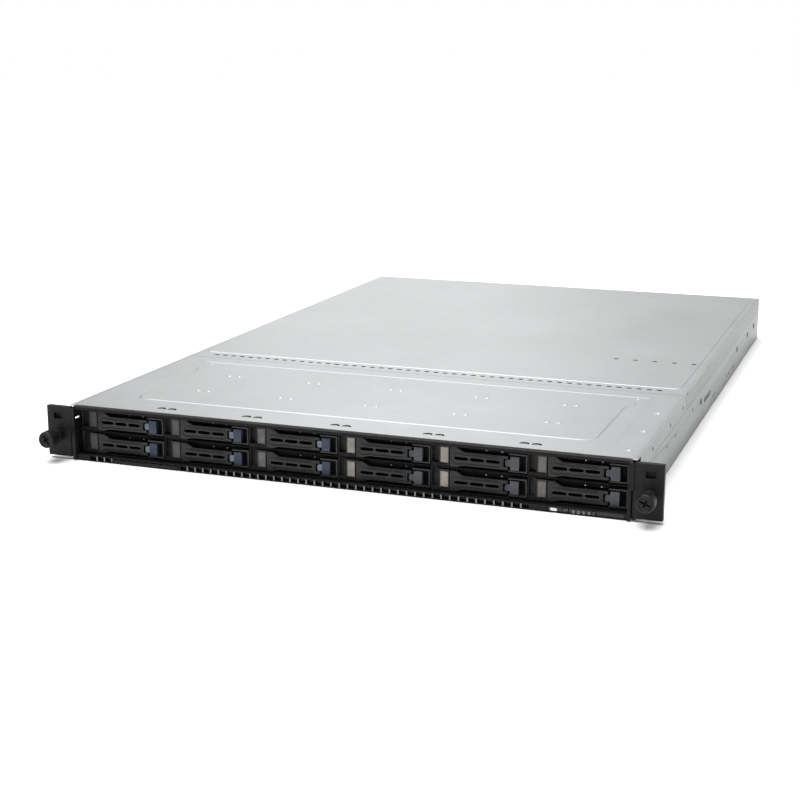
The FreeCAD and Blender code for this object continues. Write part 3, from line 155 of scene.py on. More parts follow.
def spread(tree, value, low, high, start=0.3, end=0.7):
    """Maps a pattern from start..end to low..high, held at both ends."""
    made = tree.nodes.new("ShaderNodeMapRange")
    for key, number in (("From Min", start), ("From Max", end), ("To Min", low), ("To Max", high)):
        made.inputs[key].default_value = number
    tree.links.new(value, made.inputs["Value"])
    return made.outputs["Result"]


def between(tree, value, first, second, start=0.3, end=0.7):
    """Colour that runs from first to second as a pattern goes from start to end."""
    made = tree.nodes.new("ShaderNodeValToRGB")
    for stop, position, colour in zip(made.color_ramp.elements, (start, end), (first, second)):
        stop.position = position
        stop.color = (*colour, 1)
    tree.links.new(value, made.inputs["Fac"])
    return made.outputs["Color"]


def blended(tree, share, first, second, way="MIX"):
    """Mixes two colours by a share; each of the three is a value or an output."""
    mix = tree.nodes.new("ShaderNodeMix")
    mix.data_type = "RGBA"
    mix.blend_type = way
    for key, value in ((0, share), (6, first), (7, second)):
        if isinstance(value, bpy.types.NodeSocket):
            tree.links.new(value, mix.inputs[key])
        elif key:
            mix.inputs[key].default_value = (*value, 1)
        else:
            mix.inputs[key].default_value = value
    return mix.outputs[2]


def sums(tree, way, first, second):
    """Arithmetic on two values, each a number or an output."""
    made = tree.nodes.new("ShaderNodeMath")
    made.operation = way
    for key, value in ((0, first), (1, second)):
        if isinstance(value, bpy.types.NodeSocket):
            tree.links.new(value, made.inputs[key])
        else:
            made.inputs[key].default_value = value
    return made.outputs[0]


def raise_surface(tree, shader, height, depth):
    """Bumps the surface by a pattern, to a depth in metres."""
    bump = tree.nodes.new("ShaderNodeBump")
    bump.inputs["Distance"].default_value = depth
    tree.links.new(height, bump.inputs["Height"])
    tree.links.new(bump.outputs["Normal"], shader.inputs["Normal"])


def edge_share(tree):
    """Share that is high on convex edges, where handling wears a finish."""
    geometry = tree.nodes.new("ShaderNodeNewGeometry")
    return spread(tree, geometry.outputs["Pointiness"], 0, 1, 0.51, 0.58)


# ---- finishes ----
SPANGLE = 0.011  # crystals of the zinc, across
CLOUD = 0.09  # handling marks on sheet metal
STREAK = 0.004  # rolling streaks, across their length
STREAK_SHARE = 0.04  # scale of the pattern along the streaks
METAL_GRAIN = (0.0012, 0.000008)  # size and depth of the fine grain
METALLIC = 0.75


def zinc_steel(name, colour, rough):
    """Hot-dip galvanised sheet: faint crystals, rolling streaks and cloudy handling marks."""
    material, tree, shader = new_finish(name, colour, rough, METALLIC)
    dark = tuple(0.96 * c for c in colour)
    light = tuple(min(1, 1.03 * c) for c in colour)
    crystal = cells(tree, SPANGLE)
    cloud = noise(tree, CLOUD, 4)
    tint = between(tree, cloud, dark, light)
    fleck = between(tree, crystal, (0.96, 0.96, 0.965), (1, 1, 1), 0.1, 0.9)
    tree.links.new(blended(tree, 1.0, tint, fleck, "MULTIPLY"), shader.inputs["Base Color"])
    streak = noise(tree, STREAK, 3, 0.6, stretched(tree, (1, STREAK_SHARE, 1)))
    streaky = spread(tree, streak, -0.008, 0.008)
    cloudy = spread(tree, cloud, rough - 0.015, rough + 0.02)
    gloss = sums(tree, "ADD", streaky, cloudy)
    tree.links.new(gloss, shader.inputs["Roughness"])
    size, depth = METAL_GRAIN
    raise_surface(tree, shader, noise(tree, size, 4, 0.6), depth)
    return material


def moulded(name, colour, rough, specular=0.5, grain=0.0004, depth=0.00002):
    """Moulded or powder-coated surface: fine grain, slight mottling, lighter handled edges."""
    material, tree, shader = new_finish(name, colour, rough, 0.0, specular)
    mottled = noise(tree, 0.012, 4)
    tint = between(tree, mottled, tuple(0.86 * c for c in colour), tuple(1.12 * c for c in colour))
    worn = tuple(min(1, 1.9 * c + 0.01) for c in colour)
    edge = sums(tree, "MULTIPLY", edge_share(tree), spread(tree, noise(tree, 0.004), 0.1, 0.6))
    tree.links.new(blended(tree, edge, tint, worn), shader.inputs["Base Color"])
    gloss = spread(tree, noise(tree, 0.003, 5), rough - 0.06, rough + 0.07)
    tree.links.new(gloss, shader.inputs["Roughness"])
    raise_surface(tree, shader, noise(tree, grain, 2, 0.5), depth)
    return material


# Sheet metal and castings: base colour, roughness.
METALS = {
    "galvanised_steel": ((0.6, 0.617, 0.622), 0.3),
    # The next two are the galvanised steel again, made darker as painted shade for the case's sides and the
    # covers' skirts.
    "shaded_side_steel": ((0.13, 0.137, 0.139), 0.34),
    "shaded_skirt_steel": ((0.085, 0.09, 0.092), 0.34),
    "dark_steel": ((0.10, 0.10, 0.105), 0.5),
    "drive_case": ((0.45, 0.46, 0.47), 0.4),
    "aluminium_fins": ((0.7, 0.7, 0.7), 0.3),
    "screw_steel": ((0.06, 0.11, 0.105), 0.35),
    "port_shell": ((0.55, 0.55, 0.54), 0.3),
}
# Mouldings, paint, labels and boards: base colour, roughness, and where they differ from
# the usual, the shader's specular level and the grain's size and depth in metres.
MOULDINGS = {
    "ear_paint": ((0.0065, 0.0065, 0.0067), 0.5, 0.22, 0.0006, 0.00004),
    "knob_metal": ((0.0065, 0.0065, 0.0067), 0.45, 0.25),
    "bezel_plastic": ((0.004, 0.004, 0.004), 0.5, 0.22),
    # Painted highlight: a light grey for the vent ribs' front edges.
    "rib_highlight": ((0.19, 0.19, 0.185), 0.4),
    "carrier_plastic": ((0.02, 0.0195, 0.0185), 0.42, 0.35),
    # The next three are near-black painted shade: for recess backs, for recess rims and sills, and for slots,
    # grooves and gaps.
    "recess_shade": ((0.0025, 0.0025, 0.0028), 0.75, 0.15),
    "recess_rim_shade": ((0.005, 0.005, 0.005), 0.6, 0.2),
    "gap_shade": ((0.004, 0.004, 0.004), 0.8, 0.2),
    "latch_blue": ((0.027, 0.044, 0.078), 0.4),
    "latch_grey": ((0.078, 0.082, 0.095), 0.42),
    "latch_tooth": ((0.11, 0.135, 0.18), 0.35),
    "tooth_dark": ((0.025, 0.03, 0.04), 0.35),
    "label_1": ((0.028, 0.028, 0.027), 0.38),
    "label_2": ((0.045, 0.044, 0.042), 0.36),
    "label_3": ((0.085, 0.082, 0.078), 0.34),
    "label_4": ((0.22, 0.2, 0.18), 0.3),
    "label_5": ((0.25, 0.225, 0.195), 0.3),
    "label_6": ((0.1, 0.092, 0.084), 0.32),
    "lens_white": ((0.75, 0.76, 0.76), 0.25),
    "lens_dim": ((0.16, 0.17, 0.17), 0.25),
    "black_plastic": ((0.014, 0.014, 0.015), 0.45),
    "tag_plastic": ((0.007, 0.007, 0.007), 0.45, 0.22),
    "button_plastic": ((0.02, 0.02, 0.02), 0.4),
    "release_plastic": ((0.05, 0.25, 0.2), 0.4),
    "fan_rotor": ((0.02, 0.02, 0.021), 0.35),
    "circuit_board": ((0.01, 0.05, 0.02), 0.35),
    "slot_paint": ((0.02, 0.02, 0.021), 0.35),
    "blue_port": ((0.02, 0.05, 0.2), 0.4),
}
FINISH = {name: zinc_steel(name, *values) for name, values in METALS.items()}
FINISH.update({name: moulded(name, *values) for name, values in MOULDINGS.items()})
for node_name, node in NODES.items():
    node.data.materials.clear()
    node.data.materials.append(FINISH[SLOT_OF[node_name]])


# ---- making pieces ----
CRISP_ANGLE = 32  # degrees; edges sharper than this stay sharp in the shading
TOUCHING = 2e-6  # metres; points closer than this are one
SAME_POINT = 1e-7  # metres; the same for solids whose points are joined already


def placed(name, data):
    """An object made from its data, in the scene."""
    made = bpy.data.objects.new(name, data)
    bpy.context.scene.collection.objects.link(made)
    return made


def new_piece(name, points, faces, finishes, body, which=None, stands_for=()):
    """A mesh piece from points in metres and faces.

    It gets its finishes (which gives each face's number), smooth shading with crisp edges, its
    body and the nodes it stands for.
    """
    mesh = bpy.data.meshes.new(name)
    mesh.from_pydata(points, [], faces)
    piece = placed(name, mesh)
    for finish in finishes:
        mesh.materials.append(FINISH[finish])
    if which is not None:
        mesh.polygons.foreach_set("material_index", np.asarray(which, np.int32))
    crisp(mesh)
    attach(piece, body)
    if stands_for:
        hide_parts(*stands_for)
    return piece


def crisp(mesh):
    """Smooth shading that breaks at sharp edges."""
    mesh.polygons.foreach_set("use_smooth", np.ones(len(mesh.polygons), bool))
    mesh.set_sharp_from_angle(angle=math.radians(CRISP_ANGLE))
    mesh.update()


def settled(piece):
    """Works a piece's modifiers into its mesh, which is then shaded afresh."""
    bpy.context.view_layer.update()
    depsgraph = bpy.context.evaluated_depsgraph_get()
    mesh = bpy.data.meshes.new_from_object(piece.evaluated_get(depsgraph))
    piece.modifiers.clear()
    old, piece.data = piece.data, mesh
    bpy.data.meshes.remove(old)
    crisp(mesh)


def thickened(piece, thickness):
    """Gives a sheet its thickness in millimetres, inward from the outer face."""
    made = piece.modifiers.new("thickness", "SOLIDIFY")
    made.thickness = thickness * MM
    made.offset = -1
    made.use_even_offset = True
    settled(piece)


def eased(piece, radius, segments=2, angle=CRISP_ANGLE):
    """Rounds a piece's edges by a radius in millimetres, where they are sharper than the angle."""
    made = piece.modifiers.new("eased_edges", "BEVEL")
    made.width = radius * MM
    made.segments = segments
    made.limit_method = "ANGLE"
    made.angle_limit = math.radians(angle)
    made.harden_normals = segments > 1
    made.miter_outer = "MITER_ARC"


def merged(piece, distance, flat=None):
    """Joins points that meet, and with flat, an angle in degrees, also clears lines across flat faces."""
    made = bmesh.new()
    made.from_mesh(piece.data)
    bmesh.ops.remove_doubles(made, verts=made.verts, dist=distance)
    if flat:
        bmesh.ops.dissolve_limit(made, angle_limit=math.radians(flat), verts=made.verts, edges=made.edges,
                                 delimit={"MATERIAL"})
    made.to_mesh(piece.data)
    made.free()
    crisp(piece.data)


def shells(node):
    """A node's separate solids, each as joined points and triangles.

    Every point starts with its own number as its label, and the points of a triangle take the
    lowest label among them, until nothing changes and each solid has one label.
    """
    mesh = NODES[node].data
    points = np.empty(len(mesh.vertices) * 3)
    mesh.vertices.foreach_get("co", points)
    points = points.reshape(-1, 3)
    corners = np.empty(len(mesh.loops), np.int64)
    mesh.loops.foreach_get("vertex_index", corners)
    cell = np.round(points / TOUCHING).astype(np.int64)
    _, first, same = np.unique(cell, axis=0, return_index=True, return_inverse=True)
    points = points[first]
    faces = same.ravel()[corners].reshape(-1, 3)
    a, b, c = faces.T
    faces = faces[(a != b) & (b != c) & (c != a)]
    label = np.arange(len(points))
    while True:
        lowest = label.copy()
        np.minimum.at(lowest, faces, label[faces].min(1)[:, None])
        lowest = lowest[lowest]
        if (lowest == label).all():
            break
        label = lowest
    found = []
    for key in np.unique(label):
        mine = faces[label[faces[:, 0]] == key]
        used, renumbered = np.unique(mine, return_inverse=True)
        found.append((points[used], renumbered.reshape(-1, 3)))
    return found


def cad_piece(name, finishes, node, radius, pick=None, flat=None):
    """A node's own form with joined faces and eased edges, standing for the node.

    pick(middles, normals, solid) gives each face's finish from the faces' middles in
    millimetres, their unit normals and the number of the solid that each belongs to.
    """
    solids = shells(node)
    points = np.concatenate([p for p, _ in solids])
    offsets = np.cumsum([0] + [len(p) for p, _ in solids[:-1]])
    faces = np.concatenate([f + o for (_, f), o in zip(solids, offsets)])
    which = None
    if pick:
        a, b, c = points[faces[:, 0]], points[faces[:, 1]], points[faces[:, 2]]
        across = np.cross(b - a, c - a)
        across /= np.maximum(np.linalg.norm(across, axis=1, keepdims=True), 1e-12)
        solid = np.repeat(np.arange(len(solids)), [len(f) for _, f in solids])
        which = pick(((a + b + c) / 3 - [0, EAR_FRONT, 0]) / MM, across, solid)
    piece = new_piece(name, points, faces.tolist(), finishes, BODY_OF[node], which, [node])
    merged(piece, SAME_POINT, flat)
    if radius:
        eased(piece, radius, 2 if flat else 1)


def plain(node, radius, finishes=None, pick=None, flat=None):
    """A node's own form with eased edges, in the node's finish if no other is named."""
    cad_piece(node + "_eased", finishes or [SLOT_OF[node]], node, radius, pick, flat)


# ---- pressed sheet metal ----
def runs(*parts, both=()):
    """Grid lines in rising order; each part is (start, end, count), those in both on both sides of 0."""
    lines = [np.linspace(*part) for part in parts]
    for part in both:
        lines += [np.linspace(*part), -np.linspace(*part)]
    return np.unique(np.round(np.concatenate(lines), 4))


def ramp(value, start, end):
    """0 before start, 1 after end, and between them the smooth S 3 t^2 - 2 t^3."""
    t = np.clip((value - start) / (end - start), 0, 1)
    return t * t * (3 - 2 * t)


def inside(x, y, half_x, half_y, corner):
    """Distance inwards from the edge of a rectangle with round corners about the origin.

    It is the corner radius less the distance to the rectangle of the corners' centres, and
    negative outside.
    """
    dx, dy = np.abs(x) - half_x + corner, np.abs(y) - half_y + corner
    return corner - np.hypot(np.maximum(dx, 0), np.maximum(dy, 0)) - np.minimum(np.maximum(dx, dy), 0)


def square_ring(sides):
    """Points round a square of half side 1, evenly along its sides, anticlockwise from its low corner."""
    t = np.arange(4 * sides) / sides
    side, f = t.astype(int), 2 * (t % 1)
    x = np.choose(side, [f - 1, 1 + 0 * f, 1 - f, -1 + 0 * f])
    y = np.choose(side, [-1 + 0 * f, f - 1, 1 + 0 * f, 1 - f])
    return x, y


def grid_quads(number):
    """The four corners of each cell of a grid of point numbers."""
    return np.stack([number[:-1, :-1], number[1:, :-1], number[1:, 1:], number[:-1, 1:]], -1)


def ring_faces(rings, spokes, start=0, closed_middle=True):
    """Quads between rings of points, and a fan to the last point if the middle is closed."""
    k = np.arange(spokes)
    after = (k + 1) % spokes
    faces = []
    for ring in range(rings - 1):
        a, b = start + ring * spokes, start + (ring + 1) * spokes
        faces += np.stack([a + k, a + after, b + after, b + k], 1).tolist()
    if closed_middle:
        a, centre = start + (rings - 1) * spokes, start + rings * spokes
        faces += np.stack([a + k, a + after, np.full(spokes, centre)], 1).tolist()
    return faces


class Sheet:
    """A grid over two lengths in millimetres, laid in place by a function.

    Cells are taken out for marks and holes, which bring their own rings of points.
    """

    NEAR = 0.12  # free grid lines closer than this to another one are dropped

    def __init__(self, across, along, rise):
        self.across, self.along, self.rise = across, along, rise
        self.marks, self.gaps = [], []

    def mark(self, x, y, half, profile, radii, sides=6):
        """A round mark in a square: rings of the radii, profile(dx, dy, ring) giving the height above the
        sheet and the faces in painted shade.
        """
        self.marks.append((x, y, half, half, profile, radii, sides))

    def hole(self, x, y, half_x, half_y, cut_x, cut_y, sides=3):
        """A slot with rounded corners, the curve (x/a)^4 + (y/b)^4 = 1, in a rectangle of the grid."""
        self.marks.append((x, y, half_x, half_y, None, (cut_x, cut_y), sides))

    def gap(self, x0, x1, y0, y1):
        """Leaves a rectangle of the grid out."""
        self.gaps.append((x0, x1, y0, y1))

    def grid_lines(self):
        """The lines across and along, with those on which the marks' squares stand."""
        more_x = [x + half * np.linspace(-1, 1, sides + 1) for x, _, half, _, _, _, sides in self.marks]
        more_y = [y + half * np.linspace(-1, 1, sides + 1) for _, y, _, half, _, _, sides in self.marks]
        return self.thinned(self.across, more_x), self.thinned(self.along, more_y)

    def thinned(self, lines, needed):
        """Adds the needed lines and drops free lines that nearly touch another one."""
        lines = np.unique(np.round(np.concatenate([lines] + needed), 4))
        fixed = np.zeros(len(lines), bool)
        for group in needed:
            fixed |= np.isin(lines, np.round(group, 4))
        fixed |= np.isin(lines, [g for gap in self.gaps for g in gap])
        fixed[[0, -1]] = True
        close = np.diff(lines) < self.NEAR
        crowded = np.concatenate([[False], close]) | np.concatenate([close, [False]])
        return lines[fixed | ~crowded]

    def build(self, lay):
        """Points and faces of the sheet; lay(x, y, h) turns grid lengths and height into metres."""
        xs, ys = self.grid_lines()
        x, y = np.meshgrid(xs, ys, indexing="ij")
        points = [lay(x, y, self.rise(x, y)).reshape(-1, 3)]
        cx, cy = np.meshgrid((xs[1:] + xs[:-1]) / 2, (ys[1:] + ys[:-1]) / 2, indexing="ij")
        kept = np.ones(cx.shape, bool)
        for mx, my, half_x, half_y, *_ in self.marks:
            kept &= (np.abs(cx - mx) > half_x) | (np.abs(cy - my) > half_y)
        for x0, x1, y0, y1 in self.gaps:
            kept &= (cx < x0) | (cx > x1) | (cy < y0) | (cy > y1)
        faces = grid_quads(np.arange(x.size).reshape(x.shape))[kept].tolist()
        which = [0] * len(faces)
        start = x.size
        for mark in self.marks:
            made, more, kinds = self.one_mark(mark, start, lay)
            points.append(made)
            faces += more
            which += kinds
            start += len(made)
        return np.concatenate(points), faces, which

    def one_mark(self, mark, start, lay):
        """Rings from a rectangle's edge inwards: to the cut for a hole, to a middle point for a mark."""
        mx, my, half_x, half_y, profile, radii, sides = mark
        sx, sy = square_ring(sides)
        turn = np.arctan2(sy * half_y, sx * half_x)
        if profile is None:
            a, b = radii
            r = (np.abs(np.cos(turn) / a) ** 4 + np.abs(np.sin(turn) / b) ** 4) ** -0.25
            dx = np.stack([sx * half_x, r * np.cos(turn)])
            dy = np.stack([sy * half_y, r * np.sin(turn)])
            made = lay(mx + dx, my + dy, self.rise(mx + dx, my + dy)).reshape(-1, 3)
            faces = ring_faces(2, 4 * sides, start, False)
            return made, faces, [0] * len(faces)
        dx = np.concatenate([(sx * half_x)[None], np.array(radii)[:, None] * np.cos(turn)])
        dy = np.concatenate([(sy * half_y)[None], np.array(radii)[:, None] * np.sin(turn)])
        step, dark = profile(dx, dy, np.arange(len(radii) + 1)[:, None] + 0 * dx)
        step[0] = 0
        high = self.rise(mx + dx, my + dy) + step
        centre_x, centre_y = np.array([mx]), np.array([my])
        middle = self.rise(centre_x, centre_y) + step[-1].mean()
        made = np.concatenate([lay(mx + dx, my + dy, high).reshape(-1, 3),
                               lay(centre_x, centre_y, middle).reshape(-1, 3)])
        faces = ring_faces(len(radii) + 1, 4 * sides, start)
        kinds = np.concatenate([dark[1:].ravel(), np.zeros(4 * sides, int)])
        return made, faces, kinds.astype(int).tolist()


DIMPLE_RADII = (2.4, 2.0, 1.6, 1.2, 0.8, 0.4)
SMALL_DIMPLE_RADII = (1.3, 0.95, 0.6, 0.3)
LANCE_RADII = (3.7, 3.25, 3.0, 2.4, 1.2)
GROOVE, LIP, TONGUE = 2, 3, 4  # the lance's rings, counted inwards from its square


def dimple(dx, dy, ring):
    """A low round rim with a dished middle: h = 0.26 exp(-((r - 1.6) / 0.4)^2) - 0.4 exp(-(r / 0.9)^2)."""
    r = np.hypot(dx, dy)
    return 0.26 * np.exp(-((r - 1.6) / 0.4) ** 2) - 0.4 * np.exp(-(r / 0.9) ** 2), np.zeros(dx.shape, int)


def lance(dx, dy, ring):
    """A half-round tongue that sinks 0.5 mm towards the back in a smooth S, with an open crescent
    1.5 mm deep behind it, whose groove faces are marked for painted shade."""
    tongue = -0.5 * ramp(dy, -1.6, 2.6)
    groove = -1.5 * ramp(dy, -0.6, 0.4)
    high = np.select([ring >= TONGUE, ring == LIP, ring == GROOVE],
                     [tongue, np.minimum(tongue, groove), groove * 0.9], 0)
    # Painted shade on the crescent's groove faces.
    dark = (ring == GROOVE) & (dy > -0.2)
    return high, dark.astype(int)


# ---- top covers ----
TOP = 43.6  # upper face of the covers
PLATE = 1.0  # thickness of the covers
BEND = 1.2  # radius of their folded edges
FLAT = HALF - BEND
BEND_LENGTH = BEND * math.pi / 2
BEND_END = FLAT + BEND_LENGTH
SKIRT_LENGTH = 12.4
EDGE = BEND_END + SKIRT_LENGTH
SIDE_LINES = ((FLAT, BEND_END, 6), (BEND_END, EDGE, 4))
TAIL, TAIL_DEPTH, TAIL_POWER = 8.4, 13.6, 2.5
# CUT and SKIRT are painted shade: near-black for cut edges and grooves, a darker steel for the skirts.
OUTER, CUT, SKIRT = range(3)  # a cover's finishes, in order
SKIRT_START = 0.9  # depth below the top at which the skirt's finish starts

# Pressed forms: middle along y, half width, half length, corner radius, height, flank width.
PANEL = (100.75, 187, 64.25, 12, 0.37, 1.1)
BEAD = (180, 198.6, 3.2, 3.2, 0.38, 1.5)
SHOULDER = (103, 202, 78, 14, 0.12, 5)
FIELD = (447, 215, 229, 5, 0.4, 0.8)
PANEL_FRONT, PANEL_MORE = 185, 7  # the panel's half width in front, and what it gains
PANEL_WIDENS = (138, 160)  # y between which it gains that

FRONT_SEAM = 197.0
SWEEP_FROM = 184  # y from which the front cover's skirt starts to sweep back
REAR_SEAM, REAR_END = 197.6, 684.0
REAR_SWEEP_TO = 214
PAIR = 4.5  # marks stand in pairs, this far to both sides of a bay's edge
LANCE_Y, DIMPLE_ROWS = 14.5, (76, 132)
DASH_Y, DASH_PITCH, DASHES_EACH_WAY = 209, 8.3, 24
SHORT_Y, SHORT_FIRST, SHORT_PITCH, SHORTS = 316, 209.8, 17.2, 5
SLOT_CELL = (2.9, 2.1)  # half sizes of the rectangle that a slot stands in
SLOT = (2.25, 1.5)  # half sizes of the slot
CUT_REACH = 2.4  # distance from a row's line within which its cut edges lie
CUT_DEPTH = 1.3  # depth below the top within which they lie


def folded(tail):
    """Lays a sheet over the case: flat on top, a quarter-round bend, then down the side as a skirt.

    At a length s from the middle the angle of the bend is t = (|s| - FLAT) / BEND, held to a
    quarter turn, and the surface stands (BEND + h) from the bend's centre, at sin t outwards and
    cos t up. tail(depth, y) is how far the sheet runs back at a depth below the top.
    """
    def lay(s, y, h):
        a, sign = np.abs(s), np.sign(s)
        t = np.clip((a - FLAT) / BEND, 0, math.pi / 2)
        down = np.maximum(a - FLAT - BEND_LENGTH, 0)
        x = sign * (np.minimum(a, FLAT) + (BEND + h) * np.sin(t))
        z = TOP - BEND + (BEND + h) * np.cos(t) - down
        return np.stack([x * MM, (y + tail(TOP - z, y)) * MM + EAR_FRONT, z * MM], -1)
    return lay


def tail_curve(depth):
    """How far the seam runs back at a depth d below the top: 8.4 (1 - (1 - d / 13.6)^2.5)."""
    return TAIL * (1 - (1 - np.clip(depth / TAIL_DEPTH, 0, 1)) ** TAIL_POWER)


def raised(s, y, form):
    """Height of a pressed form: a rectangle with round corners whose flank is a smooth S."""
    middle, half_x, half_y, corner, height, flank = form
    return height * ramp(inside(s, y - middle, half_x, half_y, corner), 0, flank)


def cover(name, node, sheet, tail, skirt_shade):
    """Lays a cover over the case, with painted shade in its grooves and a darker steel as painted shade on
    its skirts, and thickens it.
    """
    points, faces, which = sheet.build(folded(tail))
    first = np.array([face[0] for face in faces])
    third = np.array([face[2] for face in faces])
    low = (points[first, 2] + points[third, 2]) / 2 < (TOP - SKIRT_START) * MM
    which = np.where(low & (np.array(which) == OUTER), SKIRT, which)
    finishes = ["galvanised_steel", "gap_shade", skirt_shade]
    piece = new_piece(name, points, faces, finishes, BODY_OF[node], which, [node])
    merged(piece, TOUCHING)
    thickened(piece, PLATE)
    return piece


def front_cover():
    """The fixed cover: a raised panel that widens backwards in a smooth S, a bead, dimples and lances."""
    def rise(s, y):
        out = PANEL_FRONT + PANEL_MORE * ramp(y, *PANEL_WIDENS)
        panel = raised(s * PANEL[1] / out, y, PANEL)
        return panel + raised(s, y, BEAD) + raised(s, y, SHOULDER)

    across = runs((-FLAT, FLAT, 90), both=SIDE_LINES + ((173, 202, 64), (184, 187.5, 15)))
    along = runs((3.3, FRONT_SEAM, 50), (36, 38, 11), (38, 52, 22), (150, 165.5, 40), (163.5, 165.5, 11),
                 (176.4, 183.6, 25), (184, FRONT_SEAM, 12))
    sheet = Sheet(across, along, rise)
    for column in range(-2, 3):
        for side in (-PAIR, PAIR):
            x = COLUMN_PITCH * column + side
            for y in DIMPLE_ROWS:
                sheet.mark(x, y, 3, dimple, DIMPLE_RADII)
            sheet.mark(x, LANCE_Y, 4.2, lance, LANCE_RADII)
    for y in (22, 76, 132):
        sheet.mark(212, y, 3, dimple, DIMPLE_RADII)
    skirt_s = FLAT + BEND_LENGTH + 6.5
    for y in (60, 131, 187):
        sheet.mark(skirt_s, y, 2.6, dimple, DIMPLE_RADII)
        sheet.mark(-skirt_s, y, 2.6, dimple, DIMPLE_RADII)
    for x in (-185, -9, 189):
        sheet.mark(x, 171, 1.5, dimple, SMALL_DIMPLE_RADII)
    sheet.gap(-EDGE - 1, -BEND_END, 0, 14)
    sheet.gap(BEND_END, EDGE + 1, 0, 14)
    # The skirts take the darker steel as painted shade.
    cover("front_cover_sheet", "front_top_cover", sheet,
          lambda depth, y: tail_curve(depth) * ramp(y, SWEEP_FROM, FRONT_SEAM), "shaded_side_steel")


def darken_slots(piece):
    """Paints shade on the cut edges inside the cover's slots, with the near-black finish."""
    mesh = piece.data
    middle, normal = np.empty(len(mesh.polygons) * 3), np.empty(len(mesh.polygons) * 3)
    mesh.polygons.foreach_get("center", middle)
    mesh.polygons.foreach_get("normal", normal)
    middle, normal = middle.reshape(-1, 3), normal.reshape(-1, 3)
    y = (middle[:, 1] - EAR_FRONT) / MM
    which = np.empty(len(mesh.polygons), np.int32)
    mesh.polygons.foreach_get("material_index", which)
    near = (np.abs(y - DASH_Y) < CUT_REACH) | (np.abs(y - SHORT_Y) < CUT_REACH)
    upright = np.abs(normal[:, 2]) < 0.5
    which[near & upright & (middle[:, 2] > (TOP - CUT_DEPTH) * MM)] = CUT
    mesh.polygons.foreach_set("material_index", which)
    mesh.update()


def rear_cover():
    """The sliding cover: a raised field, a row of dash slots and five short slots."""
    across = runs((-FLAT, FLAT, 60), both=SIDE_LINES + ((209, 216, 29),))
    along = runs((REAR_SEAM, REAR_END, 70), (217, 224, 29), (670, 677, 29), (REAR_SEAM, 212, 12))
    sheet = Sheet(across, along, lambda s, y: raised(s, y, FIELD))
    for i in range(-DASHES_EACH_WAY, DASHES_EACH_WAY + 1):
        sheet.hole(DASH_PITCH * i, DASH_Y, *SLOT_CELL, *SLOT)
    for i in range(SHORTS):
        sheet.hole(SHORT_FIRST - SHORT_PITCH * i, SHORT_Y, *SLOT_CELL, *SLOT)
    # The skirts take the darker steel as painted shade; the slots' cut edges get painted shade below.
    piece = cover("rear_cover_sheet", "rear_top_cover", sheet,
                  lambda depth, y: tail_curve(depth) * (1 - ramp(y, REAR_SEAM, REAR_SWEEP_TO)), "shaded_skirt_steel")
    darken_slots(piece)


front_cover()
rear_cover()


# ---- turned parts ----
FACE_LINES = 25  # grid lines each way over a turned part's face
SLOT_WALL = 0.012  # share of the face's radius over which a slot's wall falls

# Rings of height, radius and knurl depth, from the face inwards.
THUMBSCREW = [(17.9, 4.3, 0), (18.3, 4.6, 0), (18.4, 4.9, 0), (18.4, 5.9, 0), (18.1, 6.3, 0),
              (17.6, 6.5, 0), (17.2, 6.5, 0.02), (9.6, 6.5, 0.02), (9.2, 6.3, 0), (8.8, 5.7, 0),
              (6.0, 5.3, 0), (5.7, 5.75, 0), (4.3, 5.75, 0), (4.0, 5.2, 0), (0.4, 5.0, 0),
              (0.0, 5.1, 0), (0.0, 2.5, 0), (-13.9, 2.5, 0), (-14.5, 2.0, 0)]
PAN_HEAD = [(0.68, 1.9, 0), (0.62, 2.3, 0), (0.45, 2.6, 0), (0.2, 2.78, 0), (0.0, 2.8, 0), (-0.4, 2.8, 0)]
# Slots in their faces: half width, half length, depth, and whether it crosses the first.
CROSSED_SLOTS = ((0.7, 4.2, 1.6, False), (0.7, 2.6, 1.6, True))
PLAIN_SLOT = ((0.35, 1.7, 0.4, False),)
KNURLS = 24
THUMBSCREW_X, THUMBSCREW_Z = 232, 18.8
SIDE_SCREW_X = 222.0
SIDE_SCREWS = ((285, 19), (512, 20), (592, 20), (645, 20))  # y, z


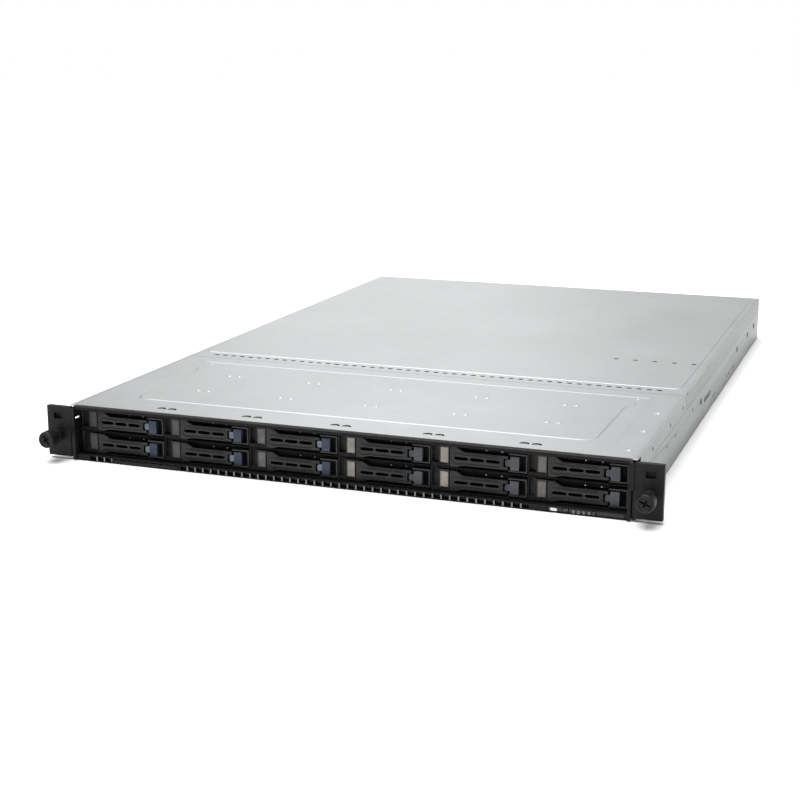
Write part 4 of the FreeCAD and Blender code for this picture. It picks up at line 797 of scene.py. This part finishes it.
def turned(name, centre, axis, side, profile, slots, knurls, finish, body, stands_for=()):
    """A turned part: a slotted round face with painted shade on the slots' floors, then the profile's rings
    along the axis.

    The face is a square grid bent to a disc by x = u sqrt(1 - v^2 / 2), y = v sqrt(1 - u^2 / 2),
    with the slots sunk into it. Each ring is r (1 + depth cos(knurls t)) about the axis.
    """
    face_height, radius, _ = profile[0]
    half_slot = slots[0][0] / radius
    lines = math.sqrt(2) * np.sin(np.radians(np.linspace(-45, 45, FACE_LINES)))
    middle = FACE_LINES // 2
    lines[middle - 1], lines[middle + 1] = -half_slot, half_slot
    lines[middle - 2], lines[middle + 2] = -half_slot - SLOT_WALL, half_slot + SLOT_WALL
    u, v = np.meshgrid(lines, lines, indexing="ij")
    x, y = u * np.sqrt(1 - v * v / 2), v * np.sqrt(1 - u * u / 2)
    high = np.full(u.shape, float(face_height))
    for half_width, half_length, depth, crossing in slots:
        a, b = (v, u) if crossing else (u, v)
        sunk = (np.abs(b) <= half_width / radius + 1e-6) & (np.abs(a) <= half_length / radius)
        high[sunk] = face_height - depth
    number = np.arange(u.size).reshape(u.shape)
    points = [np.stack([x * radius, y * radius, high], -1).reshape(-1, 3)]
    faces = grid_quads(number).reshape(-1, 4).tolist()
    # Faces on the slots' floors take the near-black second finish as painted shade.
    low = (high < face_height - 1e-6).astype(int)
    corners = low[:-1, :-1] + low[1:, :-1] + low[1:, 1:] + low[:-1, 1:]
    which = (corners.ravel() > 1).astype(int).tolist()
    rim = np.concatenate([number[:-1, 0], number[-1, :-1], number[:0:-1, -1], number[0, :0:-1]])
    turn = np.arctan2(y.ravel()[rim], x.ravel()[rim])
    before, start = rim, u.size
    count = len(rim)
    for h, r, depth in profile[1:]:
        ring = r * (1 + depth * np.cos(knurls * turn))
        points.append(np.stack([ring * np.cos(turn), ring * np.sin(turn), np.full(count, float(h))], -1))
        now = start + np.arange(count)
        faces += np.stack([before, now, np.roll(now, -1), np.roll(before, -1)], 1).tolist()
        before, start = now, start + count
    points.append(np.array([[0, 0, float(profile[-1][0])]]))
    faces += np.stack([before, np.full(count, start), np.roll(before, -1)], 1).tolist()
    local = np.concatenate(points)
    axis, side = np.array(axis, float), np.array(side, float)
    other = np.cross(axis, side)
    world = centre + (local[:, :1] * side + local[:, 1:2] * other + local[:, 2:] * axis) * MM
    which += [0] * (len(faces) - len(which))
    return new_piece(name, world, faces, [finish, "gap_shade"], body, which, stands_for)


def thumbscrew(side, x, slot_turn):
    """A captive screw with a knurled head, a raised ring round its crossed slots and a tapered neck."""
    t = math.radians(slot_turn)
    along_slot = (math.cos(t), 0, math.sin(t))
    node = side + "_thumbscrew"
    piece = turned("thumbscrew_head_" + side, at(x, 0, THUMBSCREW_Z), (0, -1, 0), along_slot,
                   THUMBSCREW, CROSSED_SLOTS, KNURLS, "knob_metal", node, [node])
    eased(piece, 0.12, 2, 40)


def side_screws():
    """Slotted pan-head screws along both sides; the first one made stands for the node of them all."""
    stands_for = ["chassis_screws"]
    for y, z in SIDE_SCREWS:
        for side, word in ((1, "right"), (-1, "left")):
            turned("side_screw_%s_%d" % (word, y), at(side * SIDE_SCREW_X, y, z), (side, 0, 0), (0, 0.6, 0.8),
                   PAN_HEAD, PLAIN_SLOT, 0, "screw_steel", "chassis", stands_for)
            stands_for = []


thumbscrew("right", THUMBSCREW_X, -23)
thumbscrew("left", -THUMBSCREW_X, -55)


# ---- drive carriers ----
# RECESS and RIM are painted shade.
FRAME, RECESS, LABEL, DRIVE, LENS, RIM = range(6)  # a carrier's finishes, in order
BAY_GAP = 0.6  # from the bay's edge, where x is counted from, to the carrier
RECESS_FROM, RECESS_TO, RECESS_FLOOR = 14.2, 56.5, 13.0  # x, x, y
SILL_HIGH, SILL_BACK = 2.3, 16  # the sill left of the recess: height, y
LABEL_FROM, LABEL_TO, LABEL_FRONT = 7.2, 13.1, 9.1  # x, x, y
LEVER_START, LEVER_MIDDLE = 14.4, 6.4  # the arm's left end and middle in its node
ARM_HALF, ROOT_ABOVE, ROOT_BELOW = 5, 3, 1.4  # half height, and what the root adds
ROOT = (18.5, 25.5)  # x between which the root narrows
STRAIGHT = 1.6  # half height that is never stretched
ARM_SLOTS = ((17.5, 28), (29.3, 39.7), (41, 51.3))  # x from, x to
RIDGE_MIDDLE, RIDGE_LENGTH, RIDGE_HEIGHT = 34.4, 18.6, 3.6  # of its oval: x, half sizes
LATCH_START, TOOTH_END = 55.3, 58.6  # x of the tooth's left and right ends
RIBS_FROM, RIBS_LENGTH, RIB_COUNT = 59.3, 5.5, 6
FADE_IN, FADE_OUT = (2.2, 2.9), (11.1, 11.8)  # heights between which the ribs fade


def carrier(row, column):
    """A carrier's frame with painted shade in its recess and on the recess's rim and sill, a bare label
    plate, its drive and light pipes.
    """
    node = "carrier_%s_%d" % (row, column)
    corner = (box_of(node)[0] - [0, EAR_FRONT, 0]) / MM

    def pick(middles, normals, solid):
        x = middles[:, 0] - corner[0] + BAY_GAP
        y = middles[:, 1]
        z = middles[:, 2] - corner[2]
        front = normals[:, 1] < -0.9
        # Painted shade: near-black for the recess's back faces, and for its rim and the sill beside it.
        which = np.where(front & (y > RECESS_FLOOR), RECESS, FRAME)
        which[(x > RECESS_FROM) & (x < RECESS_TO) & (y < RECESS_FLOOR)] = RIM
        which[(x < RECESS_FROM) & (z < SILL_HIGH) & (y < SILL_BACK)] = RIM
        which[front & (x > LABEL_FROM) & (x < LABEL_TO) & (y > LABEL_FRONT)] = LABEL
        which[solid == 1] = DRIVE
        which[solid == 2] = FRAME
        which[solid >= 3] = LENS
        return which

    lens = "lens_white" if column > 4 else "lens_dim"
    finishes = ["carrier_plastic", "recess_shade", "label_%d" % column, "drive_case", lens, "recess_rim_shade"]
    cad_piece("carrier_body_%s_%d" % (row, column), finishes, node, 0.22, pick)


def lever(row, column):
    """The carrier's lever: a slotted arm with an oval ridge, wider at its root, forked at its end.

    The front is z(x, v) = v inside the slotted middle, and outside it v is stretched to reach the
    outline 5 + 3 (1 - S(x)) above and 5 + 1.4 (1 - S(x)) below, S being the smooth step from
    x 18.5 to 25.5. The ridge is a bell 0.16 high, 0.35 outside the edge of an oval, and the dip
    inside it is a bell 0.22 deep, as far from the edge.
    """
    node = "lever_%s_%d" % (row, column)
    low, high = box_of(node)
    left, middle = low[0] / MM - LEVER_START, low[2] / MM + LEVER_MIDDLE

    def ridge(x, v):
        edge = inside(x - RIDGE_MIDDLE, v, RIDGE_LENGTH, RIDGE_HEIGHT, RIDGE_HEIGHT)
        return 0.16 * np.exp(-((edge + 0.35) / 0.35) ** 2) - 0.22 * np.exp(-((edge - 0.35) / 0.35) ** 2)

    def lay(x, v, h):
        s = 1 - ramp(x, *ROOT)
        reach = np.where(v > 0, ARM_HALF + ROOT_ABOVE * s, ARM_HALF + ROOT_BELOW * s)
        stretch = (np.abs(v) - STRAIGHT) * (reach - STRAIGHT) / (ARM_HALF - STRAIGHT)
        z = np.where(np.abs(v) < STRAIGHT, v, np.sign(v) * (STRAIGHT + stretch))
        return np.stack([(x + left) * MM, low[1] - h * MM, (z + middle) * MM], -1)

    sheet = Sheet(runs((LEVER_START, 57.2, 60), (15.2, 20, 17), (48.5, 53.9, 19)),
                  runs((-ARM_HALF, ARM_HALF, 11), (-4.4, 4.4, 23)), ridge)
    for x0, x1 in ARM_SLOTS:
        half = (x1 - x0) / 2
        sheet.hole((x0 + x1) / 2, 0, half + 0.3, 1.55, half, 1.25, 6)
    sheet.gap(54, 57.3, -2.9, 2.9)
    points, faces, _ = sheet.build(lay)
    piece = new_piece("lever_arm_%s_%d" % (row, column), points, faces, ["carrier_plastic"], node,
                      None, [node])
    merged(piece, TOUCHING)
    thickened(piece, (high[1] - low[1]) / MM)
    eased(piece, 0.25, 2, 50)


def latch(row, column):
    """The sliding latch: a ribbed body with a thin finger loop, and a tooth in the lever's fork.

    The ribs are 0.2 sin^2(6 pi u) high, u being the share of the grip's width, and fade out
    above and below in a smooth S.
    """
    node = "latch_%s_%d" % (row, column)
    finish = SLOT_OF[node]
    low, _ = box_of(node)
    left = low[0] / MM - LATCH_START

    def pick(middles, normals, solid):
        return np.where(middles[:, 0] - left < TOOTH_END, 1, 0)

    def ribs(x, z):
        wave = np.sin(math.pi * (x - RIBS_FROM) * RIB_COUNT / RIBS_LENGTH) ** 2
        return 0.2 * wave * ramp(z, *FADE_IN) * (1 - ramp(z, *FADE_OUT))

    def lay(x, z, h):
        return np.stack([(x + left) * MM, low[1] + (0.02 - h) * MM, low[2] + (z - 2) * MM], -1)

    tooth = "latch_tooth" if column < 4 else "tooth_dark"
    cad_piece("latch_body_%s_%d" % (row, column), [finish, tooth], node, 0.3, pick)
    upwards = runs((FADE_IN[0], FADE_OUT[1], 5), (*FADE_IN, 4), (*FADE_OUT, 4))
    sheet = Sheet(runs((RIBS_FROM, RIBS_FROM + RIBS_LENGTH, 43)), upwards, ribs)
    points, faces, _ = sheet.build(lay)
    piece = new_piece("latch_grip_%s_%d" % (row, column), points, faces, [finish], node)
    thickened(piece, 0.25)


for each_row in ROWS:
    for each_column in range(1, COLUMNS + 1):
        carrier(each_row, each_column)
        lever(each_row, each_column)
        latch(each_row, each_column)


# ---- frame of the front ----
RIB_PITCH = 6.55  # vent ribs, counted from x -205
RIB_GAP = 5.3  # width of a vent opening
VENTS_FROM, VENTS_TO = -205, 154.4
VENTS_LOW, VENTS_HIGH = 1.1, 3.3
# Ribs in this stretch get no painted highlight.
BARE_FROM, BARE_TO = -184, -125  # stretch in which the ribs stay black
PLATE_SEAT = 1.7  # y at which the control panel's small plates start
LAMPS = (173.5, 179, 182.7, 186.4, 190.1, 193.6)
ROUND_STEPS = np.radians(np.arange(0, 360, 15.0))


def highlighted_rib_fronts(middles, normals, solid):
    """A painted highlight, a lighter finish, on the front edges of the vent ribs."""
    x, z = middles[:, 0], middles[:, 2]
    front = (normals[:, 1] < -0.9) & (z > VENTS_LOW) & (z < VENTS_HIGH)
    rib = front & (x > VENTS_FROM) & (x < VENTS_TO) & ((x - VENTS_FROM) % RIB_PITCH > RIB_GAP)
    return np.where(rib & ((x < BARE_FROM) | (x > BARE_TO)), 1, 0)


def after_first(middles, normals, solid):
    """The second finish for every solid but the first."""
    return np.where(solid > 0, 1, 0)


def shaded_cage_mouth(middles, normals, solid):
    """Painted shade, the near-black recess finish, on the front end of the drive cage."""
    return np.where(middles[:, 1] < 16, 1, 0)


def small_plate(name, x, z, half_x, half_z, front):
    """A small raised plate on the control panel: rings of (x/a)^5 + (z/b)^5 = 1, the last drawn in."""
    turn = ROUND_STEPS
    r = (np.abs(np.cos(turn) / half_x) ** 5 + np.abs(np.sin(turn) / half_z) ** 5) ** -0.2
    dx, dz = r * np.cos(turn), r * np.sin(turn)
    count = len(turn)
    rings = [np.stack([x + dx * k, np.full(count, y), z + dz * k], -1)
             for k, y in ((1, PLATE_SEAT), (1, front + 0.1), (0.9, front))]
    points = np.concatenate(rings + [[[x, front, z]], [[x, PLATE_SEAT, z]]])
    faces = ring_faces(3, count) + [[(k + 1) % count, k, 3 * count + 1] for k in range(count)]
    new_piece(name, points * MM + [0, EAR_FRONT, 0], faces, ["lens_white"], "chassis")


def front_frame():
    """The black frame, the ears, the control panel with its lamps and buttons, and the drive cage."""
    # The vent ribs' front edges carry a painted highlight.
    cad_piece("bezel_frame", ["bezel_plastic", "rib_highlight"], "front_bezel", 0.2, highlighted_rib_fronts)
    for node in ("right_rack_ear", "left_rack_ear"):
        plain(node, 0.45, flat=0.8)
    plain("info_tag", 0.25)
    plain("control_panel", 0.1, ["black_plastic", "lens_dim"], after_first)
    small_plate("white_window", 165, 1.9, 2.5, 1.05, 1.15)
    for index, x in enumerate(LAMPS):
        small_plate("lamp_mark_%d" % index, x, 0.95, 0.8, 0.2, 1.45)
    plain("power_button", 0.3)
    plain("locator_button", 0.3)
    plain("drive_cage", 0.1, ["dark_steel", "recess_shade"], shaded_cage_mouth)
    plain("drive_backplane", 0)


# ---- case, sides and rear ----
# Dimples on the side walls: y, z.
SIDE_MARKS = ((120, 22), (156, 21.5), (239, 22.5), (355, 8), (366, 8), (443, 8), (456, 8), (484, 8), (493, 8))
PORT_WALL = 0.6  # thickness of a port's metal shell
PORT_MOUTH = 684.5  # y beyond which a port's faces are its outer ones


def side_marks(side):
    """The dimples on a side wall, in round patches whose outer ring is sunk into the wall."""
    turn = ROUND_STEPS
    points, faces = [], []
    for y, z in SIDE_MARKS:
        dx = np.array(DIMPLE_RADII)[:, None] * np.cos(turn)
        dy = np.array(DIMPLE_RADII)[:, None] * np.sin(turn)
        h, _ = dimple(dx, dy, None)
        h[0] = -0.05
        start = sum(len(p) for p in points)
        local = np.concatenate([np.stack([dx, dy, h], -1).reshape(-1, 3), [[0, 0, -0.3]]])
        x = side * (HALF + local[:, 2])
        back = (y + side * local[:, 0]) * MM + EAR_FRONT
        points.append(np.stack([x * MM, back, (z + local[:, 1]) * MM], -1))
        faces += ring_faces(len(DIMPLE_RADII), len(turn), start)
    return np.concatenate(points), faces


def case():
    """The pan with its eased edges, and the raised marks on its sides."""
    # The pan takes the darker steel as painted shade, for its sides.
    plain("chassis_base", 0.12, ["shaded_side_steel"])
    for side, word in ((1, "right"), (-1, "left")):
        points, faces = side_marks(side)
        new_piece("side_marks_" + word, points, faces, ["shaded_side_steel"], "chassis")


def port_finishes(middles, normals, solid):
    """The panel, its two network ports with dark insides, and the other ports by their solids."""
    which = np.choose(np.minimum(solid, 4), [0, 1, 1, 2, 3])
    x, z = middles[:, 0], middles[:, 2]
    for port in (1, 2):
        mine = solid == port
        centre_x, centre_z = (x[mine].min() + x[mine].max()) / 2, (z[mine].min() + z[mine].max()) / 2
        half_x, half_z = np.ptp(x[mine]) / 2 - PORT_WALL, np.ptp(z[mine]) / 2 - PORT_WALL
        inner = mine & (np.abs(x - centre_x) < half_x) & (np.abs(z - centre_z) < half_z)
        which[inner & (middles[:, 1] < PORT_MOUTH)] = 2
    return which


def supply_finishes(middles, normals, solid):
    """Black for a power supply's recesses and for every solid but its case."""
    sunk = (normals[:, 1] > 0.5) & (middles[:, 1] < 684.6) & (middles[:, 1] > 650)
    return np.where(sunk | (solid > 0), 1, 0)


def rear():
    """Rear panel with its ports, both power supplies with their release tabs."""
    finishes = ["galvanised_steel", "port_shell", "black_plastic", "blue_port"]
    plain("rear_panel", 0.12, finishes, port_finishes)
    for side in ("left", "right"):
        plain("power_supply_" + side, 0.25, ["galvanised_steel", "black_plastic"], supply_finishes)
        plain("power_supply_latch_" + side, 0.35)


def by_turns(middles, normals, solid):
    """The fans' frames and rotors, which take turns."""
    return solid % 2


def board_finishes(middles, normals, solid):
    """Dark paint for the sockets that stand on the board, up to y 515."""
    return np.where((middles[:, 2] < 7.61) | (middles[:, 1] > 515), 0, 1)


def insides():
    """Fans, boards, heat sinks and duct."""
    plain("cooling_fans", 0.2, ["black_plastic", "fan_rotor"], by_turns)
    plain("mainboard", 0.12, ["circuit_board", "slot_paint"], board_finishes)
    plain("heat_sinks", 0.1)
    plain("air_duct", 0.3)


front_frame()
case()
side_screws()
rear()
insides()


# ---- studio ----
FLOOR_HALF = 9  # metres
FLOOR_GAP = 0.0005  # metres between the floor and the lowest point of the model
# Brightness of the surroundings: (position, level) across and upwards.
ACROSS = ((0.14, 0.08), (0.21, 0.2), (0.3, 1.12), (0.37, 1.15), (0.42, 0.6), (0.55, 0.45), (0.8, 0.35))
UPWARDS = ((0.0, 0.72), (0.42, 0.76), (0.64, 1.7), (0.85, 2.2))
LIGHT_POWER = 3.8
LIGHT_SOFTNESS = 50  # degrees that the light seems wide
LIGHT_WAY = Vector((0.1, 0.25, -1))
CAMERA_PLACE = (0.4011, EAR_FRONT - 0.9620, 0.3206)
CAMERA_TURN, CAMERA_DIP, CAMERA_ROLL = (math.radians(a) for a in (19.966, 13.713, 0.138))
CAMERA_LENS = 66.82


def levels(tree, value, stops):
    """A value that runs through the given (position, level) stops."""
    made = tree.nodes.new("ShaderNodeValToRGB")
    parts = made.color_ramp.elements
    top = max(level for _, level in stops)
    for i, (position, level) in enumerate(stops):
        part = parts[i] if i < 2 else parts.new(position)
        part.position = position
        part.color = (level / top,) * 3 + (1,)
    tree.links.new(value, made.inputs["Fac"])
    return sums(tree, "MULTIPLY", made.outputs["Color"], top)


def surroundings():
    """White to the camera. To the model they are dimmer in front than behind: 1 at the horizon
    and the product of both tables above it, times a share that falls to 0.22 in front."""
    world = bpy.data.worlds.new("studio")
    bpy.context.scene.world = world
    world.use_nodes = True
    tree = world.node_tree
    way = tree.nodes.new("ShaderNodeTexCoord")
    split = tree.nodes.new("ShaderNodeSeparateXYZ")
    tree.links.new(way.outputs["Generated"], split.inputs["Vector"])
    behind = spread(tree, split.outputs["Y"], 0.22, 1.0, -0.15, 0.4)
    across = levels(tree, spread(tree, split.outputs["X"], 0, 1, -1, 1), ACROSS)
    up = levels(tree, split.outputs["Z"], UPWARDS)
    above = spread(tree, split.outputs["Z"], 0, 1, 0.03, 0.07)
    sky = sums(tree, "MULTIPLY", across, up)
    more = sums(tree, "MULTIPLY", above, sums(tree, "SUBTRACT", sky, 1.0))
    sky = sums(tree, "ADD", 1.0, more)
    seen = tree.nodes.new("ShaderNodeLightPath").outputs["Is Camera Ray"]
    strength = sums(tree, "MAXIMUM", sums(tree, "MULTIPLY", behind, sky), seen)
    tree.links.new(strength, tree.nodes["Background"].inputs["Strength"])
    tree.nodes["Background"].inputs["Color"].default_value = (1, 1, 1, 1)


def pale_floor():
    """A wide floor just under the model."""
    a = FLOOR_HALF
    mesh = bpy.data.meshes.new("floor")
    mesh.from_pydata([(-a, -a, 0), (a, -a, 0), (a, a, 0), (-a, a, 0)], [], [(0, 1, 2, 3)])
    floor = placed("floor", mesh)
    mesh.materials.append(new_finish("pale_floor", (0.97, 0.97, 0.97), 0.9, 0.0, 0.2)[0])
    floor.location.z = CAD_BOX[0].z - FLOOR_GAP


def sky_light():
    """One wide soft light from above."""
    sun = bpy.data.lights.new("sky_light", "SUN")
    sun.energy = LIGHT_POWER
    sun.angle = math.radians(LIGHT_SOFTNESS)
    made = placed("sky_light", sun)
    made.rotation_mode = "QUATERNION"
    made.rotation_quaternion = LIGHT_WAY.to_track_quat("-Z", "Y")


def camera():
    """The camera stands to the right, above and in front of the server."""
    data = bpy.data.cameras.new("camera")
    data.lens = CAMERA_LENS
    data.clip_end = 50
    made = placed("camera", data)
    made.location = CAMERA_PLACE
    level = math.cos(CAMERA_DIP)
    ahead = Vector((-math.sin(CAMERA_TURN) * level, math.cos(CAMERA_TURN) * level, -math.sin(CAMERA_DIP)))
    made.rotation_mode = "QUATERNION"
    look = ahead.to_track_quat("-Z", "Y").to_matrix()
    made.rotation_quaternion = (look @ Matrix.Rotation(CAMERA_ROLL, 3, "Z")).to_quaternion()
    bpy.context.scene.camera = made


surroundings()
pale_floor()
sky_light()
camera()
bpy.context.scene.view_settings.view_transform = "Standard"
